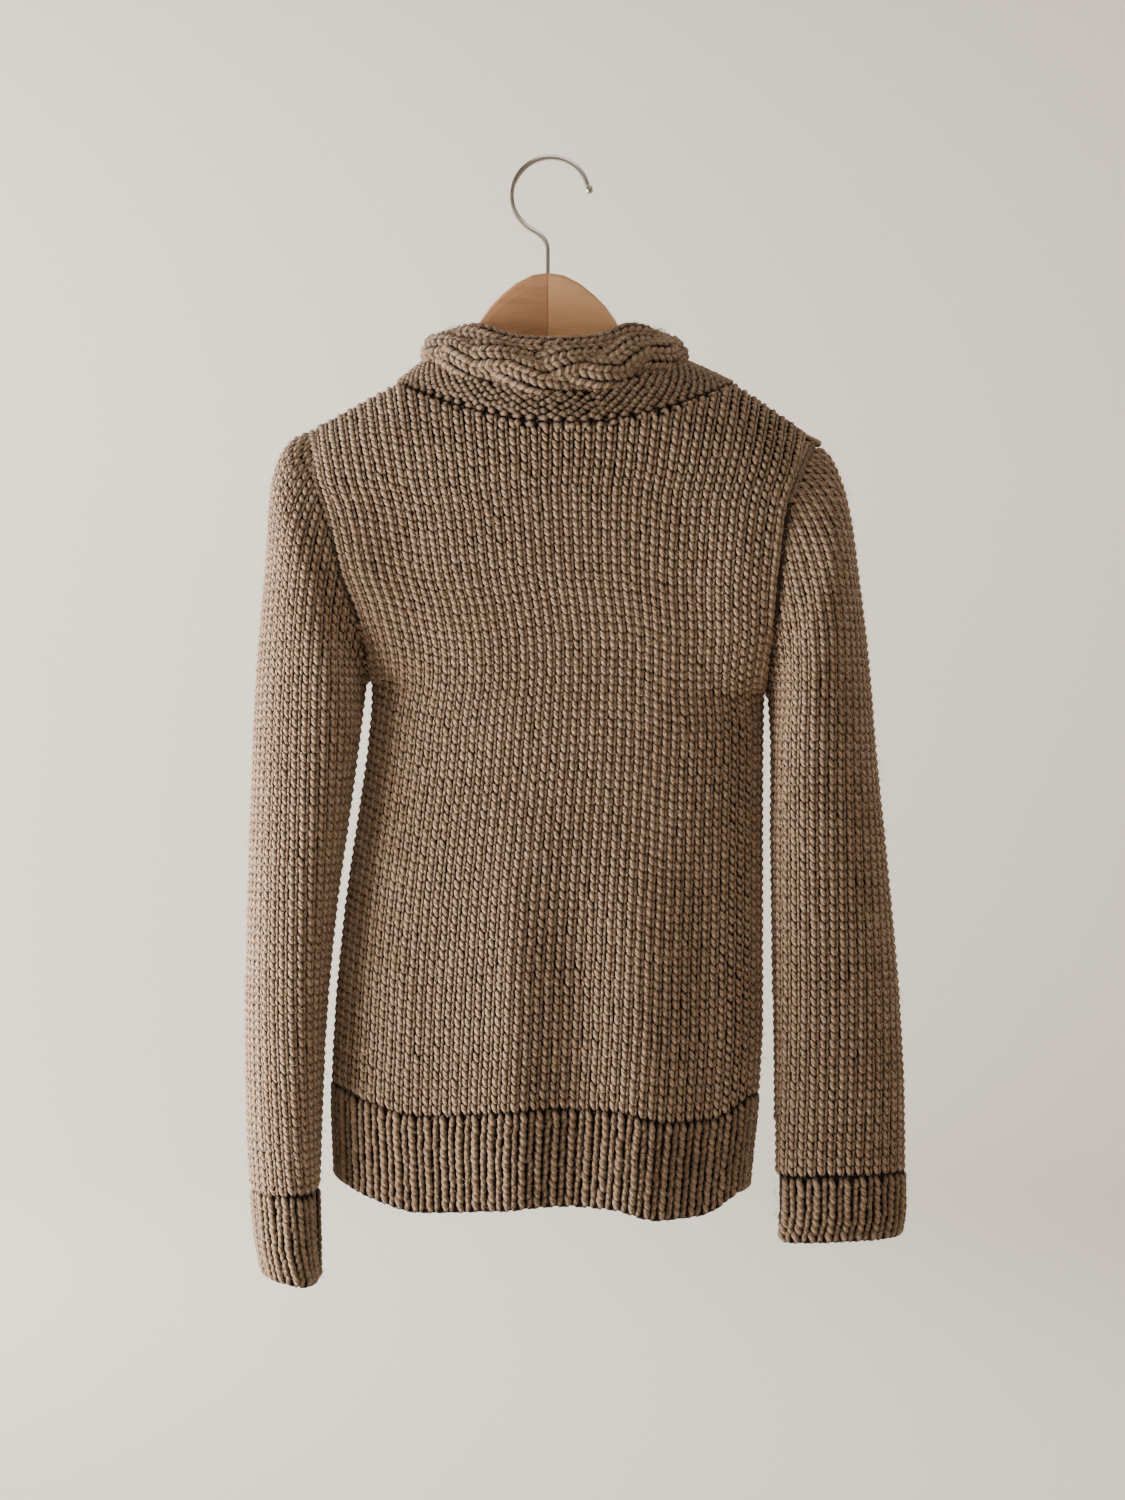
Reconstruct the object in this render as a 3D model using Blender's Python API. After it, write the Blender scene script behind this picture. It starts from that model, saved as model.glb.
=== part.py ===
# A chunky hand-knit pullover with a cable-braided collar, hanging on a wooden
# hanger with a wire hook.
#
# Frame: the origin is where the hook hangs (inside top of its loop), +Z up,
# +X to the right of someone facing the garment's back, -Y the garment's back.
# Everything is in metres; the tables below are in millimetres and pass
# through MM.
import math

import bmesh
import bpy
from mathutils import Vector

MM = 0.001

# ---- driving dimensions (mm) ------------------------------------------------
KNIT_T = 5.0            # thickness of the plain knit
RIB_T = 6.0             # thickness of the ribbed bands
BAND_T = 12.0           # thickness of the cabled collar band
EDGE_T = 5.0            # thickness of the collar's rolled top edge
HALF_GAP = 2.0          # half the slot between two knitted pieces, for a seam
SEAM_R = 0.9            # radius of a seam's strand
TOUCH = 0.35            # clearance between touching pieces

WIRE_R = 2.0            # hook wire radius
HOOK_R = 29.0           # radius of the hook's loop, to the wire's centre
HOOK_CX = 2.0           # loop centre, sideways from the stem
STEM_BORE_R = 2.45      # bore in the wood, so that the stem swivels
HANGER_HALF = 165.0     # hanger centre to tip
HANGER_SWEEP = 1.0      # how far the tips sweep towards the garment's front

BODY_N = 2.5            # squareness of the torso's section
SHOULDER_ROUND = 55.0   # height over which the knit turns over the hanger
ARMHOLE_DEPTH = 46.0    # armhole half depth, front to back
SHOULDER_L = (-172.0, -199.0)
SHOULDER_R = (200.0, -208.0)
UNDERARM_L = -392.0
UNDERARM_R = -400.0
RIB_HEIGHT = 72.0       # hem rib, top to bottom
HEM_GAP = 0.4

# torso's left and right edges: (z, x)
EDGE_L = [(-199, -172), (-235, -171), (-270, -160), (-315, -150), (-345, -139),
          (-370, -134), (-400, -132), (-440, -135), (-490, -142), (-560, -152),
          (-640, -159.5), (-700, -162), (-761, -160), (-790, -159)]
EDGE_R = [(-208, 200), (-235, 187), (-265, 176), (-300, 171), (-340, 167),
          (-380, 163), (-420, 161.5), (-490, 161), (-560, 161), (-640, 161),
          (-700, 158), (-740, 154), (-790, 149)]
# torso's half depth: (z, depth)
DEPTH = [(-160, 52), (-300, 51), (-420, 52), (-560, 54), (-700, 53),
         (-790, 49)]
# lower edge of the hem: (x, z)
HEM = [(-160, -761), (-125, -774), (-95, -781), (-40, -778), (5, -775),
       (50, -777), (90, -786), (120, -785), (150, -770)]

# rings of the collar: centre x, half width, half depth, then the height at
# the sides, at the back and at the front
RING_NECK = (13.0, 127.0, 53.0, -168.0, -205.0, -222.0)
RING_BAND = (8.0, 100.0, 50.0, -151.0, -185.0, -200.0)
RING_EDGE = (6.0, 91.0, 46.0, -133.0, -148.0, -162.0)
RING_TOP = (7.0, 82.0, 41.0, -126.0, -139.5, -151.0)

# sleeves, armhole to cuff: outer point x, z; inner point x, z; half depth;
# centre y
SLEEVE_L = [(-195, -213, -136.5, -396, 50, 0),
            (-207, -245, -137.0, -404, 54, -2),
            (-211, -300, -138.0, -416, 55, -4),
            (-217, -365, -140.5, -440, 53, -6),
            (-221, -440, -147.0, -490, 50, -8),
            (-224, -540, -157.0, -565, 47, -10),
            (-226, -640, -164.5, -650, 44, -11),
            (-225, -720, -167.5, -722, 41, -12),
            (-222.5, -766, -169.0, -767, 39, -12)]
CUFF_L = [(-222.0, -767, -169.2, -768, 39.5, -12),
          (-219, -800, -168.5, -804, 39, -12),
          (-214, -829, -168.0, -835, 36, -12)]
SLEEVE_R = [(214, -226, 165.0, -405, 50, 0),
            (225, -262, 165.5, -413, 53, -2),
            (233, -315, 166.0, -427, 53, -3),
            (240, -370, 166.0, -452, 49, -4),
            (246, -440, 165.5, -492, 43, -5),
            (255, -530, 166.0, -562, 35, -6),
            (264, -630, 167.5, -645, 27, -6),
            (268, -710, 168.5, -714, 21, -6),
            (268.5, -757, 168.8, -757.5, 18.5, -6)]
CUFF_R = [(268.8, -758, 168.6, -758.5, 19.5, -6),
          (269, -785, 169.0, -786, 18.5, -6),
          (266, -807, 171.5, -808, 15.5, -6)]

# hanger: outline above and below, as (x, z) from the centre outwards
WOOD_TOP = [(0, -85), (12, -86.8), (24, -93), (35, -102), (43, -110),
            (50, -119.5), (57, -131), (65, -142), (78, -153), (114, -179),
            (140, -196), (158, -206), (165, -214)]
WOOD_LOW = [(0, -138), (12, -139), (24, -142.5), (35, -148), (43, -153),
            (50, -158), (57, -163), (65, -169), (78, -179), (114, -203),
            (140, -218), (158, -228), (165, -226)]
WOOD_Y = [(0, 7), (60, 7), (114, 6.5), (158, 6), (165, 4.5)]


# ---- helpers ----------------------------------------------------------------
def table(rows, q):
    """Smooth reading of a table of (key, value), keys rising or falling."""
    pts = sorted(rows)
    if q <= pts[0][0]:
        return pts[0][1]
    if q >= pts[-1][0]:
        return pts[-1][1]
    for i in range(len(pts) - 1):
        x0, y0 = pts[i]
        x1, y1 = pts[i + 1]
        if q <= x1:
            h = x1 - x0
            t = (q - x0) / h
            d = (y1 - y0) / h
            m0 = m1 = d
            if i > 0:
                dp = (y0 - pts[i - 1][1]) / (x0 - pts[i - 1][0])
                m0 = 0.0 if dp * d <= 0 else 2 * dp * d / (dp + d)
            if i + 2 < len(pts):
                dn = (pts[i + 2][1] - y1) / (pts[i + 2][0] - x1)
                m1 = 0.0 if dn * d <= 0 else 2 * dn * d / (dn + d)
            return ((2 * t ** 3 - 3 * t ** 2 + 1) * y0
                    + (t ** 3 - 2 * t ** 2 + t) * h * m0
                    + (-2 * t ** 3 + 3 * t ** 2) * y1
                    + (t ** 3 - t ** 2) * h * m1)


def smooth(t):
    t = min(1.0, max(0.0, t))
    return t * t * (3 - 2 * t)


def clear_scene():
    for obj in list(bpy.data.objects):
        bpy.data.objects.remove(obj, do_unlink=True)


def material(name, colour, roughness, metallic=0.0):
    mat = bpy.data.materials.get(name)
    if mat is None:
        mat = bpy.data.materials.new(name)
        mat.use_nodes = True
        shader = mat.node_tree.nodes["Principled BSDF"]
        shader.inputs["Base Color"].default_value = (*colour, 1.0)
        shader.inputs["Roughness"].default_value = roughness
        shader.inputs["Metallic"].default_value = metallic
        mat.diffuse_color = (*colour, 1.0)
    return mat


def finish_object(name, bm, mat, parent=None, origin=(0, 0, 0), sharp=40.0):
    bmesh.ops.recalc_face_normals(bm, faces=bm.faces)
    base = Vector(origin) * MM
    for v in bm.verts:
        v.co = v.co * MM - base
    mesh = bpy.data.meshes.new(name)
    bm.to_mesh(mesh)
    bm.free()
    mesh.materials.append(mat)
    mesh.shade_smooth()
    mesh.set_sharp_from_angle(angle=math.radians(sharp))
    obj = bpy.data.objects.new(name, mesh)
    bpy.context.collection.objects.link(obj)
    obj.location = base
    if parent is not None:
        obj.parent = parent
        obj.matrix_parent_inverse = parent.matrix_world.inverted()
    return obj


def grid_shell(rows, thickness, closed=False, side=0.0):
    """A closed solid of one grid of outer points and its inward offset.

    side keeps a panel's inner face on its own side of the shoulder seam.

    rows[i][j]: i runs along the piece, j across it (round it when closed).
    The rows turn so that (along x across) points inwards.
    """
    n_i, n_j = len(rows), len(rows[0])

    def at(i, j):
        i = min(n_i - 1, max(0, i))
        j = j % n_j if closed else min(n_j - 1, max(0, j))
        return rows[i][j]

    bm = bmesh.new()
    outer, inner = [], []
    for i in range(n_i):
        ro, ri = [], []
        for j in range(n_j):
            along = at(i + 1, j) - at(i - 1, j)
            across = at(i, j + 1) - at(i, j - 1)
            n = along.cross(across).normalized()
            p = rows[i][j]
            q = p + n * thickness
            if side and q.y * side < HALF_GAP - 0.4:
                q.y = side * (HALF_GAP - 0.4)
            ro.append(bm.verts.new(p))
            ri.append(bm.verts.new(q))
        outer.append(ro)
        inner.append(ri)
    last = n_j if closed else n_j - 1
    for i in range(n_i - 1):
        for j in range(last):
            k = (j + 1) % n_j
            bm.faces.new((outer[i][j], outer[i][k], outer[i + 1][k], outer[i + 1][j]))
            bm.faces.new((inner[i + 1][j], inner[i + 1][k], inner[i][k], inner[i][j]))
    for j in range(last):
        k = (j + 1) % n_j
        bm.faces.new((outer[0][k], outer[0][j], inner[0][j], inner[0][k]))
        bm.faces.new((outer[-1][j], outer[-1][k], inner[-1][k], inner[-1][j]))
    if not closed:
        for i in range(n_i - 1):
            bm.faces.new((outer[i][0], outer[i + 1][0], inner[i + 1][0], inner[i][0]))
            bm.faces.new((outer[i + 1][-1], outer[i][-1], inner[i][-1], inner[i + 1][-1]))
    return bm


def strand(name, points, radius, mat, parent=None, closed=False, sides=6):
    """A round strand along a list of points, as a closed tube."""
    bm = bmesh.new()
    n = len(points)
    rings = []
    up = None
    for i, p in enumerate(points):
        if closed:
            t = points[(i + 1) % n] - points[i - 1]
        else:
            t = points[min(n - 1, i + 1)] - points[max(0, i - 1)]
        t.normalize()
        if up is None:
            up = t.orthogonal().normalized()
        up = (up - t * up.dot(t)).normalized()
        side = t.cross(up)
        rings.append([bm.verts.new(p + (up * math.cos(a) + side * math.sin(a)) * radius)
                      for a in (2 * math.pi * k / sides for k in range(sides))])
    if closed:
        # the frame may come round turned: close on the nearest vertex
        first = rings[0][0].co
        shift = min(range(sides), key=lambda k: (rings[-1][k].co - first).length)
        shift = shift % sides
    for i in range(n if closed else n - 1):
        a = rings[i]
        b = rings[(i + 1) % n]
        off = (-shift) % sides if closed and i == n - 1 else 0
        for k in range(sides):
            k2 = (k + 1) % sides
            bm.faces.new((a[k], a[k2], b[(k2 + off) % sides], b[(k + off) % sides]))
    if not closed:
        bm.faces.new(list(reversed(rings[0])))
        bm.faces.new(rings[-1])
    return finish_object(name, bm, mat, parent, origin=tuple(points[0]))


# ---- the garment's surface ---------------------------------------------------
def ring_point(ring, theta):
    cx, a, b, side, back, front = ring
    c, s = math.cos(theta), math.sin(theta)
    level = back if s < 0 else front
    return Vector((cx + a * c, b * s, side + (level - side) * s * s))


U_NECK0, U_NECK1 = 0.155, 0.835     # share of the width taken by the neck
ARMHOLE_V = 0.608                   # share of a panel's height below the armhole
ARMHOLE_STEPS = 16                  # points round an armhole


def top_edge(u, back=True):
    """Upper edge of a panel, from the left shoulder round the neck."""
    sign = -1.0 if back else 1.0
    left = ring_point(RING_NECK, math.pi)
    right = ring_point(RING_NECK, 0.0)
    if u <= U_NECK0:
        t = u / U_NECK0
        return Vector((SHOULDER_L[0], 0, SHOULDER_L[1])).lerp(left, t)
    if u >= U_NECK1:
        t = (u - U_NECK1) / (1 - U_NECK1)
        return right.lerp(Vector((SHOULDER_R[0], 0, SHOULDER_R[1])), t)
    t = (u - U_NECK0) / (U_NECK1 - U_NECK0)
    return ring_point(RING_NECK, sign * (math.pi - math.pi * t))


def armhole_depth(z, left):
    top, low = (SHOULDER_L[1], UNDERARM_L) if left else (SHOULDER_R[1], UNDERARM_R)
    mid, half = (top + low) / 2, (top - low) / 2
    q = 1 - ((z - mid) / half) ** 2
    return ARMHOLE_DEPTH * math.sqrt(max(0.0, q))


def torso(u, z):
    """x and depth of the torso's surface at a height, before the shoulders."""
    x0, x1 = table(EDGE_L, z), table(EDGE_R, z)
    angle = math.pi * u
    c, s = math.cos(angle), math.sin(angle)
    x = (x0 + x1) / 2 - (x1 - x0) / 2 * math.copysign(abs(c) ** (2 / BODY_N), c)
    depth = table(DEPTH, z)
    edge = armhole_depth(z, True) * (1 - smooth(u * 2)) + armhole_depth(z, False) * smooth(u * 2 - 1)
    hold = edge / depth
    return x, depth * (hold + (1 - hold) * s ** (2 / BODY_N))


def hem_z(x):
    return table(HEM, x)


def rib_top(u):
    x, _ = torso(u, -700.0)
    return hem_z(x) + RIB_HEIGHT


def panel_point(u, v, back=True):
    """Outer surface: u from the left edge to the right, v from rib to top."""
    edge = top_edge(u, back)
    z0 = rib_top(u) + HEM_GAP
    z = z0 + (edge.z - z0) * v
    x, depth = torso(u, z)
    x += (edge.x - torso(u, edge.z)[0]) * smooth((v - 0.45) / 0.55)
    t = min(1.0, (edge.z - z) / SHOULDER_ROUND)
    turn = math.sqrt(max(0.0, 1 - (1 - t) ** 2))
    y = abs(edge.y) + (depth - abs(edge.y)) * turn
    y = HALF_GAP + y * (1 - HALF_GAP / 60.0)
    if u < 0.02 and z > UNDERARM_L:
        x += HALF_GAP
    if u > 0.98 and z > UNDERARM_R:
        x -= HALF_GAP
    return Vector((x, -y if back else y, z))


def panel(name, back, mat, parent):
    # the neck's edge stops short of the ring, where the neck seam lies
    us = [i / 22 for i in range(23)]
    turn = [(1 - math.cos(math.pi * k / 8)) / 2 for k in range(9)]
    vs = [0, 0.16, 0.32, 0.47] + [ARMHOLE_V + (1 - ARMHOLE_V) * t for t in turn]
    rows = []
    for v in vs:
        row = []
        for u in us:
            w = v
            if U_NECK0 - 0.02 < u < U_NECK1 + 0.02:
                w = v * (1 - HALF_GAP / 500.0)
            row.append(panel_point(u, w, back))
        rows.append(row)
    if not back:
        rows = [list(reversed(r)) for r in rows]
    return finish_object(name, grid_shell(rows, KNIT_T, side=-1 if back else 1),
                         mat, parent, origin=(0, 0, -450))


def hem_rib(name, back, mat, parent):
    us = [i / 22 for i in range(23)]
    rows = []
    for k in range(4):
        row = []
        for u in us:
            x, _ = torso(u, -700.0)
            low = hem_z(x)
            z = low + (RIB_HEIGHT - HEM_GAP) * k / 3
            x, depth = torso(u, z)
            y = HALF_GAP + depth * (1 - HALF_GAP / 60.0)
            row.append(Vector((x, -y if back else y, z)))
        rows.append(row)
    if not back:
        rows = [list(reversed(r)) for r in rows]
    return finish_object(name, grid_shell(rows, RIB_T, side=-1 if back else 1),
                         mat, parent, origin=(0, 0, -740))


def armhole_point(phi, left, offset):
    """The armhole's ring: phi 0 at the shoulder, pi at the underarm."""
    top, low = (SHOULDER_L[1], UNDERARM_L) if left else (SHOULDER_R[1], UNDERARM_R)
    edges = EDGE_L if left else EDGE_R
    sign = -1 if left else 1
    mid, half = (top + low) / 2, (top - low) / 2
    z = mid + half * math.cos(phi)
    depth = armhole_depth(z, left)
    t = min(1.0, (top - z) / SHOULDER_ROUND)
    depth *= math.sqrt(max(0.0, 1 - (1 - t) ** 2)) if t < 1 else 1.0
    y = depth * (1 if math.sin(phi) > 0 else -1) if abs(math.sin(phi)) > 1e-6 else 0.0
    return Vector((table(edges, z) + sign * offset, y, z))


def sleeve_rows(stations, count, top=None, left=True):
    """Rings of points round a sleeve, armhole end first."""
    rows = []
    if top is not None:
        rows.append(top)
    for ox, oz, ix, iz, b, cy in stations:
        row = []
        for j in range(count):
            phi = 2 * math.pi * j / count
            c, s = math.cos(phi), math.sin(phi)
            cc = math.copysign(abs(c) ** 0.9, c)
            ss = math.copysign(abs(s) ** 0.9, s)
            row.append(Vector(((ox + ix) / 2 + (ox - ix) / 2 * cc,
                               cy + b * ss,
                               (oz + iz) / 2 + (oz - iz) / 2 * cc)))
        rows.append(row)
    return rows


def sleeve(name, stations, left, mat, parent):
    count = ARMHOLE_STEPS
    top = [armhole_point(2 * math.pi * j / count, left, HALF_GAP) for j in range(count)]
    top = [p - Vector((0, 0, 1.6)) * max(0.0, math.cos(2 * math.pi * j / count))
           for j, p in enumerate(top)]
    rows = sleeve_rows(stations, count, top)
    if not left:
        rows = [list(reversed(r)) for r in rows]
    bm = grid_shell(rows, KNIT_T, closed=True)
    return finish_object(name, bm, mat, parent, origin=pivot(left))


def cuff(name, stations, left, mat, parent):
    rows = sleeve_rows(stations, ARMHOLE_STEPS)
    if not left:
        rows = [list(reversed(r)) for r in rows]
    return finish_object(name, grid_shell(rows, RIB_T, closed=True), mat, parent,
                         origin=pivot(left))


def pivot(left):
    p = SHOULDER_L if left else SHOULDER_R
    return (p[0], 0.0, p[1])


def collar_band(name, low, high, thickness, bulge, gap_low, gap_high, mat, parent, steps=4):
    """One band of the collar, between two rings."""
    count = 40
    rows = []
    for k in range(steps):
        t = k / (steps - 1)
        row = []
        for j in range(count):
            theta = 2 * math.pi * j / count
            a, b = ring_point(low, theta), ring_point(high, theta)
            d = (b - a).normalized()
            p = (a + d * gap_low).lerp(b - d * gap_high, t)
            out = Vector((math.cos(theta) / low[1], math.sin(theta) / low[2], 0)).normalized()
            p = p + out * bulge * math.sin(math.pi * t)
            row.append(p)
        rows.append(row)
    return finish_object(name, grid_shell(rows, thickness, closed=True), mat, parent,
                         origin=(low[0], 0, low[3]))


# ---- the hanger ----------------------------------------------------------------
def hanger_arm(name, side, mat, parent, cutter):
    rows = []
    count = 12
    for x, zt in WOOD_TOP:
        zb = dict(WOOD_LOW)[x]
        half = table(WOOD_Y, x)
        y = HANGER_SWEEP * (x / HANGER_HALF) ** 2
        xx = side * (0.15 if x == 0 else x)
        mid, h = (zt + zb) / 2, (zt - zb) / 2
        row = []
        for j in range(count):
            a = 2 * math.pi * (j + 0.5) / count
            c, s = math.cos(a), math.sin(a)
            row.append(Vector((xx, y + half * math.copysign(abs(c) ** 0.5, c),
                               mid + h * math.copysign(abs(s) ** 0.42, s))))
        rows.append(row)
    bm = bmesh.new()
    rings = [[bm.verts.new(p) for p in r] for r in rows]
    for i in range(len(rings) - 1):
        for j in range(count):
            k = (j + 1) % count
            bm.faces.new((rings[i][j], rings[i][k], rings[i + 1][k], rings[i + 1][j]))
    bm.faces.new(rings[0])
    bm.faces.new(rings[-1])
    obj = finish_object(name, bm, mat, parent, origin=(0, 0, -110))
    cut = obj.modifiers.new("stem_bore", "BOOLEAN")
    cut.operation = "DIFFERENCE"
    cut.object = cutter
    return obj


def turned(name, profile, mat, parent, segments=20, sharp=40.0):
    """A ring turned about the stem from a closed (r, z) outline."""
    bm = bmesh.new()
    rings = [[bm.verts.new(Vector((r * math.cos(2 * math.pi * k / segments),
                                   r * math.sin(2 * math.pi * k / segments), z)))
              for k in range(segments)] for r, z in profile]
    m = len(rings)
    for i in range(m):
        for k in range(segments):
            k2 = (k + 1) % segments
            bm.faces.new((rings[i][k], rings[i][k2], rings[(i + 1) % m][k2], rings[(i + 1) % m][k]))
    return finish_object(name, bm, mat, parent, origin=(0, 0, profile[0][1]), sharp=sharp)


def hex_nut(name, z_top, height, across, bore, mat, parent):
    bm = bmesh.new()
    seg = 24
    loops = []
    for z in (z_top, z_top - height):
        outer, inner = [], []
        for k in range(seg):
            a = 2 * math.pi * k / seg
            r = (across / 2) / math.cos((a + math.pi / 6) % (math.pi / 3) - math.pi / 6)
            outer.append(bm.verts.new(Vector((r * math.cos(a), r * math.sin(a), z))))
            inner.append(bm.verts.new(Vector((bore * math.cos(a), bore * math.sin(a), z))))
        loops.append((outer, inner))
    (to, ti), (bo, bi) = loops
    for k in range(seg):
        k2 = (k + 1) % seg
        bm.faces.new((to[k], to[k2], ti[k2], ti[k]))
        bm.faces.new((bo[k2], bo[k], bi[k], bi[k2]))
        bm.faces.new((to[k2], to[k], bo[k], bo[k2]))
        bm.faces.new((ti[k], ti[k2], bi[k2], bi[k]))
    return finish_object(name, bm, mat, parent, origin=(0, 0, z_top), sharp=25)


def hook_points():
    cz = WIRE_R * -1 + 2.0 - (HOOK_R - WIRE_R)      # inside top of the loop at z = 0
    pts = []
    start, end = math.radians(16.0), math.radians(243.0)
    for i in range(34):
        a = start + (end - start) * i / 33
        pts.append(Vector((HOOK_CX + HOOK_R * math.cos(a), 0, cz + HOOK_R * math.sin(a))))
    # S-bend from the loop into the vertical stem
    p0 = pts[-1]
    a = end
    t0 = Vector((-math.sin(a), 0, math.cos(a)))
    p3 = Vector((0, 0, -67.0))
    t3 = Vector((0, 0, -1))
    span = (p3 - p0).length
    for i in range(1, 9):
        t = i / 8
        h = [2 * t ** 3 - 3 * t ** 2 + 1, t ** 3 - 2 * t ** 2 + t, -2 * t ** 3 + 3 * t ** 2, t ** 3 - t ** 2]
        pts.append(p0 * h[0] + t0 * span * 1.1 * h[1] + p3 * h[2] + t3 * span * 0.9 * h[3])
    for z in (-76, -86, -112, STEM_END):
        pts.append(Vector((0, 0, z)))
    return pts, cz


STEM_END = -147.0


def wire(name, pts, radius, mat):
    curve = bpy.data.curves.new(name, "CURVE")
    curve.dimensions = "3D"
    curve.bevel_depth = radius * MM
    curve.bevel_resolution = 2
    curve.use_fill_caps = True
    spline = curve.splines.new("POLY")
    spline.points.add(len(pts) - 1)
    for k, p in enumerate(pts):
        spline.points[k].co = (p.x * MM, p.y * MM, p.z * MM, 1.0)
    spline.use_smooth = True
    curve.materials.append(mat)
    obj = bpy.data.objects.new(name, curve)
    bpy.context.collection.objects.link(obj)
    return obj


def main():
    clear_scene()
    wool = material("wool_body", (0.20, 0.135, 0.09), 0.95)
    rib = material("wool_rib", (0.18, 0.12, 0.08), 0.95)
    braid = material("wool_collar", (0.22, 0.15, 0.10), 0.95)
    yarn = material("wool_seam", (0.15, 0.10, 0.065), 0.95)
    wood_l = material("beech_left", (0.33, 0.15, 0.06), 0.45)
    wood_r = material("beech_right", (0.45, 0.22, 0.09), 0.45)
    steel = material("satin_steel", (0.55, 0.54, 0.52), 0.32, 1.0)

    swivel = bpy.data.objects.new("hook_swivel_axis", None)
    left_axis = bpy.data.objects.new("left_sleeve_axis", None)
    right_axis = bpy.data.objects.new("right_sleeve_axis", None)
    for empty in (swivel, left_axis, right_axis):
        bpy.context.collection.objects.link(empty)
    left_axis.location = Vector(pivot(True)) * MM
    right_axis.location = Vector(pivot(False)) * MM
    left_axis.parent = swivel
    right_axis.parent = swivel
    bpy.context.view_layer.update()

    # hook
    pts, _ = hook_points()
    wire("hook_wire", pts, WIRE_R, steel)
    tip_dir = (pts[0] - pts[1]).normalized()
    centre = pts[0] + tip_dir * (3.1 + TOUCH)
    bm = bmesh.new()
    bmesh.ops.create_uvsphere(bm, u_segments=14, v_segments=10, radius=3.1)
    for v in bm.verts:
        v.co += centre
    finish_object("hook_tip_ball", bm, steel, origin=tuple(centre))
    turned("hook_washer", [(2.4, -138.9), (6.2, -138.9), (6.2, -140.1), (2.4, -140.1)], steel, None, sharp=30)
    hex_nut("hook_nut", -140.5, 4.0, 8.0, 2.4, steel, None)

    # hanger
    bm = bmesh.new()
    bmesh.ops.create_cone(bm, cap_ends=True, segments=20, radius1=STEM_BORE_R, radius2=STEM_BORE_R, depth=90)
    for v in bm.verts:
        v.co += Vector((0, 0, -112))
    cutter = finish_object("stem_bore_cutter", bm, steel)
    cutter.hide_render = True
    cutter.display_type = "WIRE"
    hanger_arm("hanger_arm_left", -1, wood_l, swivel, cutter)
    hanger_arm("hanger_arm_right", 1, wood_r, swivel, cutter)

    # body
    panel("back_panel", True, wool, swivel)
    panel("front_panel", False, wool, swivel)
    hem_rib("back_hem_rib", True, rib, swivel)
    hem_rib("front_hem_rib", False, rib, swivel)

    # collar
    collar_band("collar_base_band", RING_NECK, RING_BAND, KNIT_T, 0.0, HALF_GAP, 0.25, wool, swivel, steps=3)
    collar_band("collar_cable_band", RING_BAND, RING_EDGE, BAND_T, 5.0, 0.25, 0.25, braid, swivel, steps=5)
    collar_band("collar_top_edge", RING_EDGE, RING_TOP, EDGE_T, 0.0, 0.25, 0.0, braid, swivel, steps=3)

    # sleeves
    sleeve("left_sleeve", SLEEVE_L, True, wool, left_axis)
    sleeve("right_sleeve", SLEEVE_R, False, wool, right_axis)
    cuff("left_cuff_rib", CUFF_L, True, rib, left_axis)
    cuff("right_cuff_rib", CUFF_R, False, rib, right_axis)

    # seams
    deep = 2.0
    for left in (True, False):
        side = "left" if left else "right"
        u_end = 0.0 if left else 1.0
        top, under = (SHOULDER_L, UNDERARM_L) if left else (SHOULDER_R, UNDERARM_R)
        sign = -1 if left else 1
        n = ARMHOLE_STEPS
        loop = []
        for j in range(n):
            phi = 2 * math.pi * j / n
            p = armhole_point(phi, left, 0.0)
            inward = Vector((0, -p.y, (top[1] + under) / 2 - p.z))
            inward.x = 0
            loop.append(p + inward.normalized() * deep)
        strand("armhole_seam_" + side, loop, SEAM_R, yarn, swivel, closed=True)
        pts = []
        for j in range(16):
            z = hem_z(-160 if left else 150) + 3 + (under - 6 - (hem_z(-160 if left else 150) + 3)) * j / 15
            x = table(EDGE_L if left else EDGE_R, z)
            pts.append(Vector((x - sign * deep, 0, z)))
        strand("side_seam_" + side, pts, SEAM_R, yarn, swivel)
        neck = ring_point(RING_NECK, math.pi if left else 0.0)
        a = Vector((top[0], 0, top[1] - deep))
        b = Vector((neck.x, 0, neck.z - deep))
        d = (b - a).normalized()
        pts = [a + d * 6, a.lerp(b, 0.5), b - d * 6]
        strand("shoulder_seam_" + side, pts, SEAM_R, yarn, swivel)
        # sleeve seam: the ridge that the seam makes inside the sleeve
        stations = SLEEVE_L if left else SLEEVE_R
        pts = []
        for k in range(1, len(stations) - 1):
            ox, oz, ix, iz, b_, cy = stations[k]
            run = Vector((stations[k + 1][2] - stations[k - 1][2], 0,
                          stations[k + 1][3] - stations[k - 1][3])).normalized()
            inward = Vector((run.z, 0, -run.x)) * (1 if left else -1)
            pts.append(Vector((ix, cy, iz)) + inward * (KNIT_T + SEAM_R + 1.5))
        strand("sleeve_seam_" + side, pts, SEAM_R, yarn, left_axis if left else right_axis)
    n = 48
    loop = []
    for j in range(n):
        theta = 2 * math.pi * j / n
        p = ring_point(RING_NECK, theta)
        out = Vector((math.cos(theta) / RING_NECK[1], math.sin(theta) / RING_NECK[2], 0)).normalized()
        loop.append(p - out * 0.4)
    strand("neck_seam", loop, SEAM_R, yarn, swivel, closed=True)


main()
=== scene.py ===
# A chunky knit pullover with a cabled collar on a wooden hanger, built stitch by
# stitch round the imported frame. Tables are in millimetres, like part.py's.
import math

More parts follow.
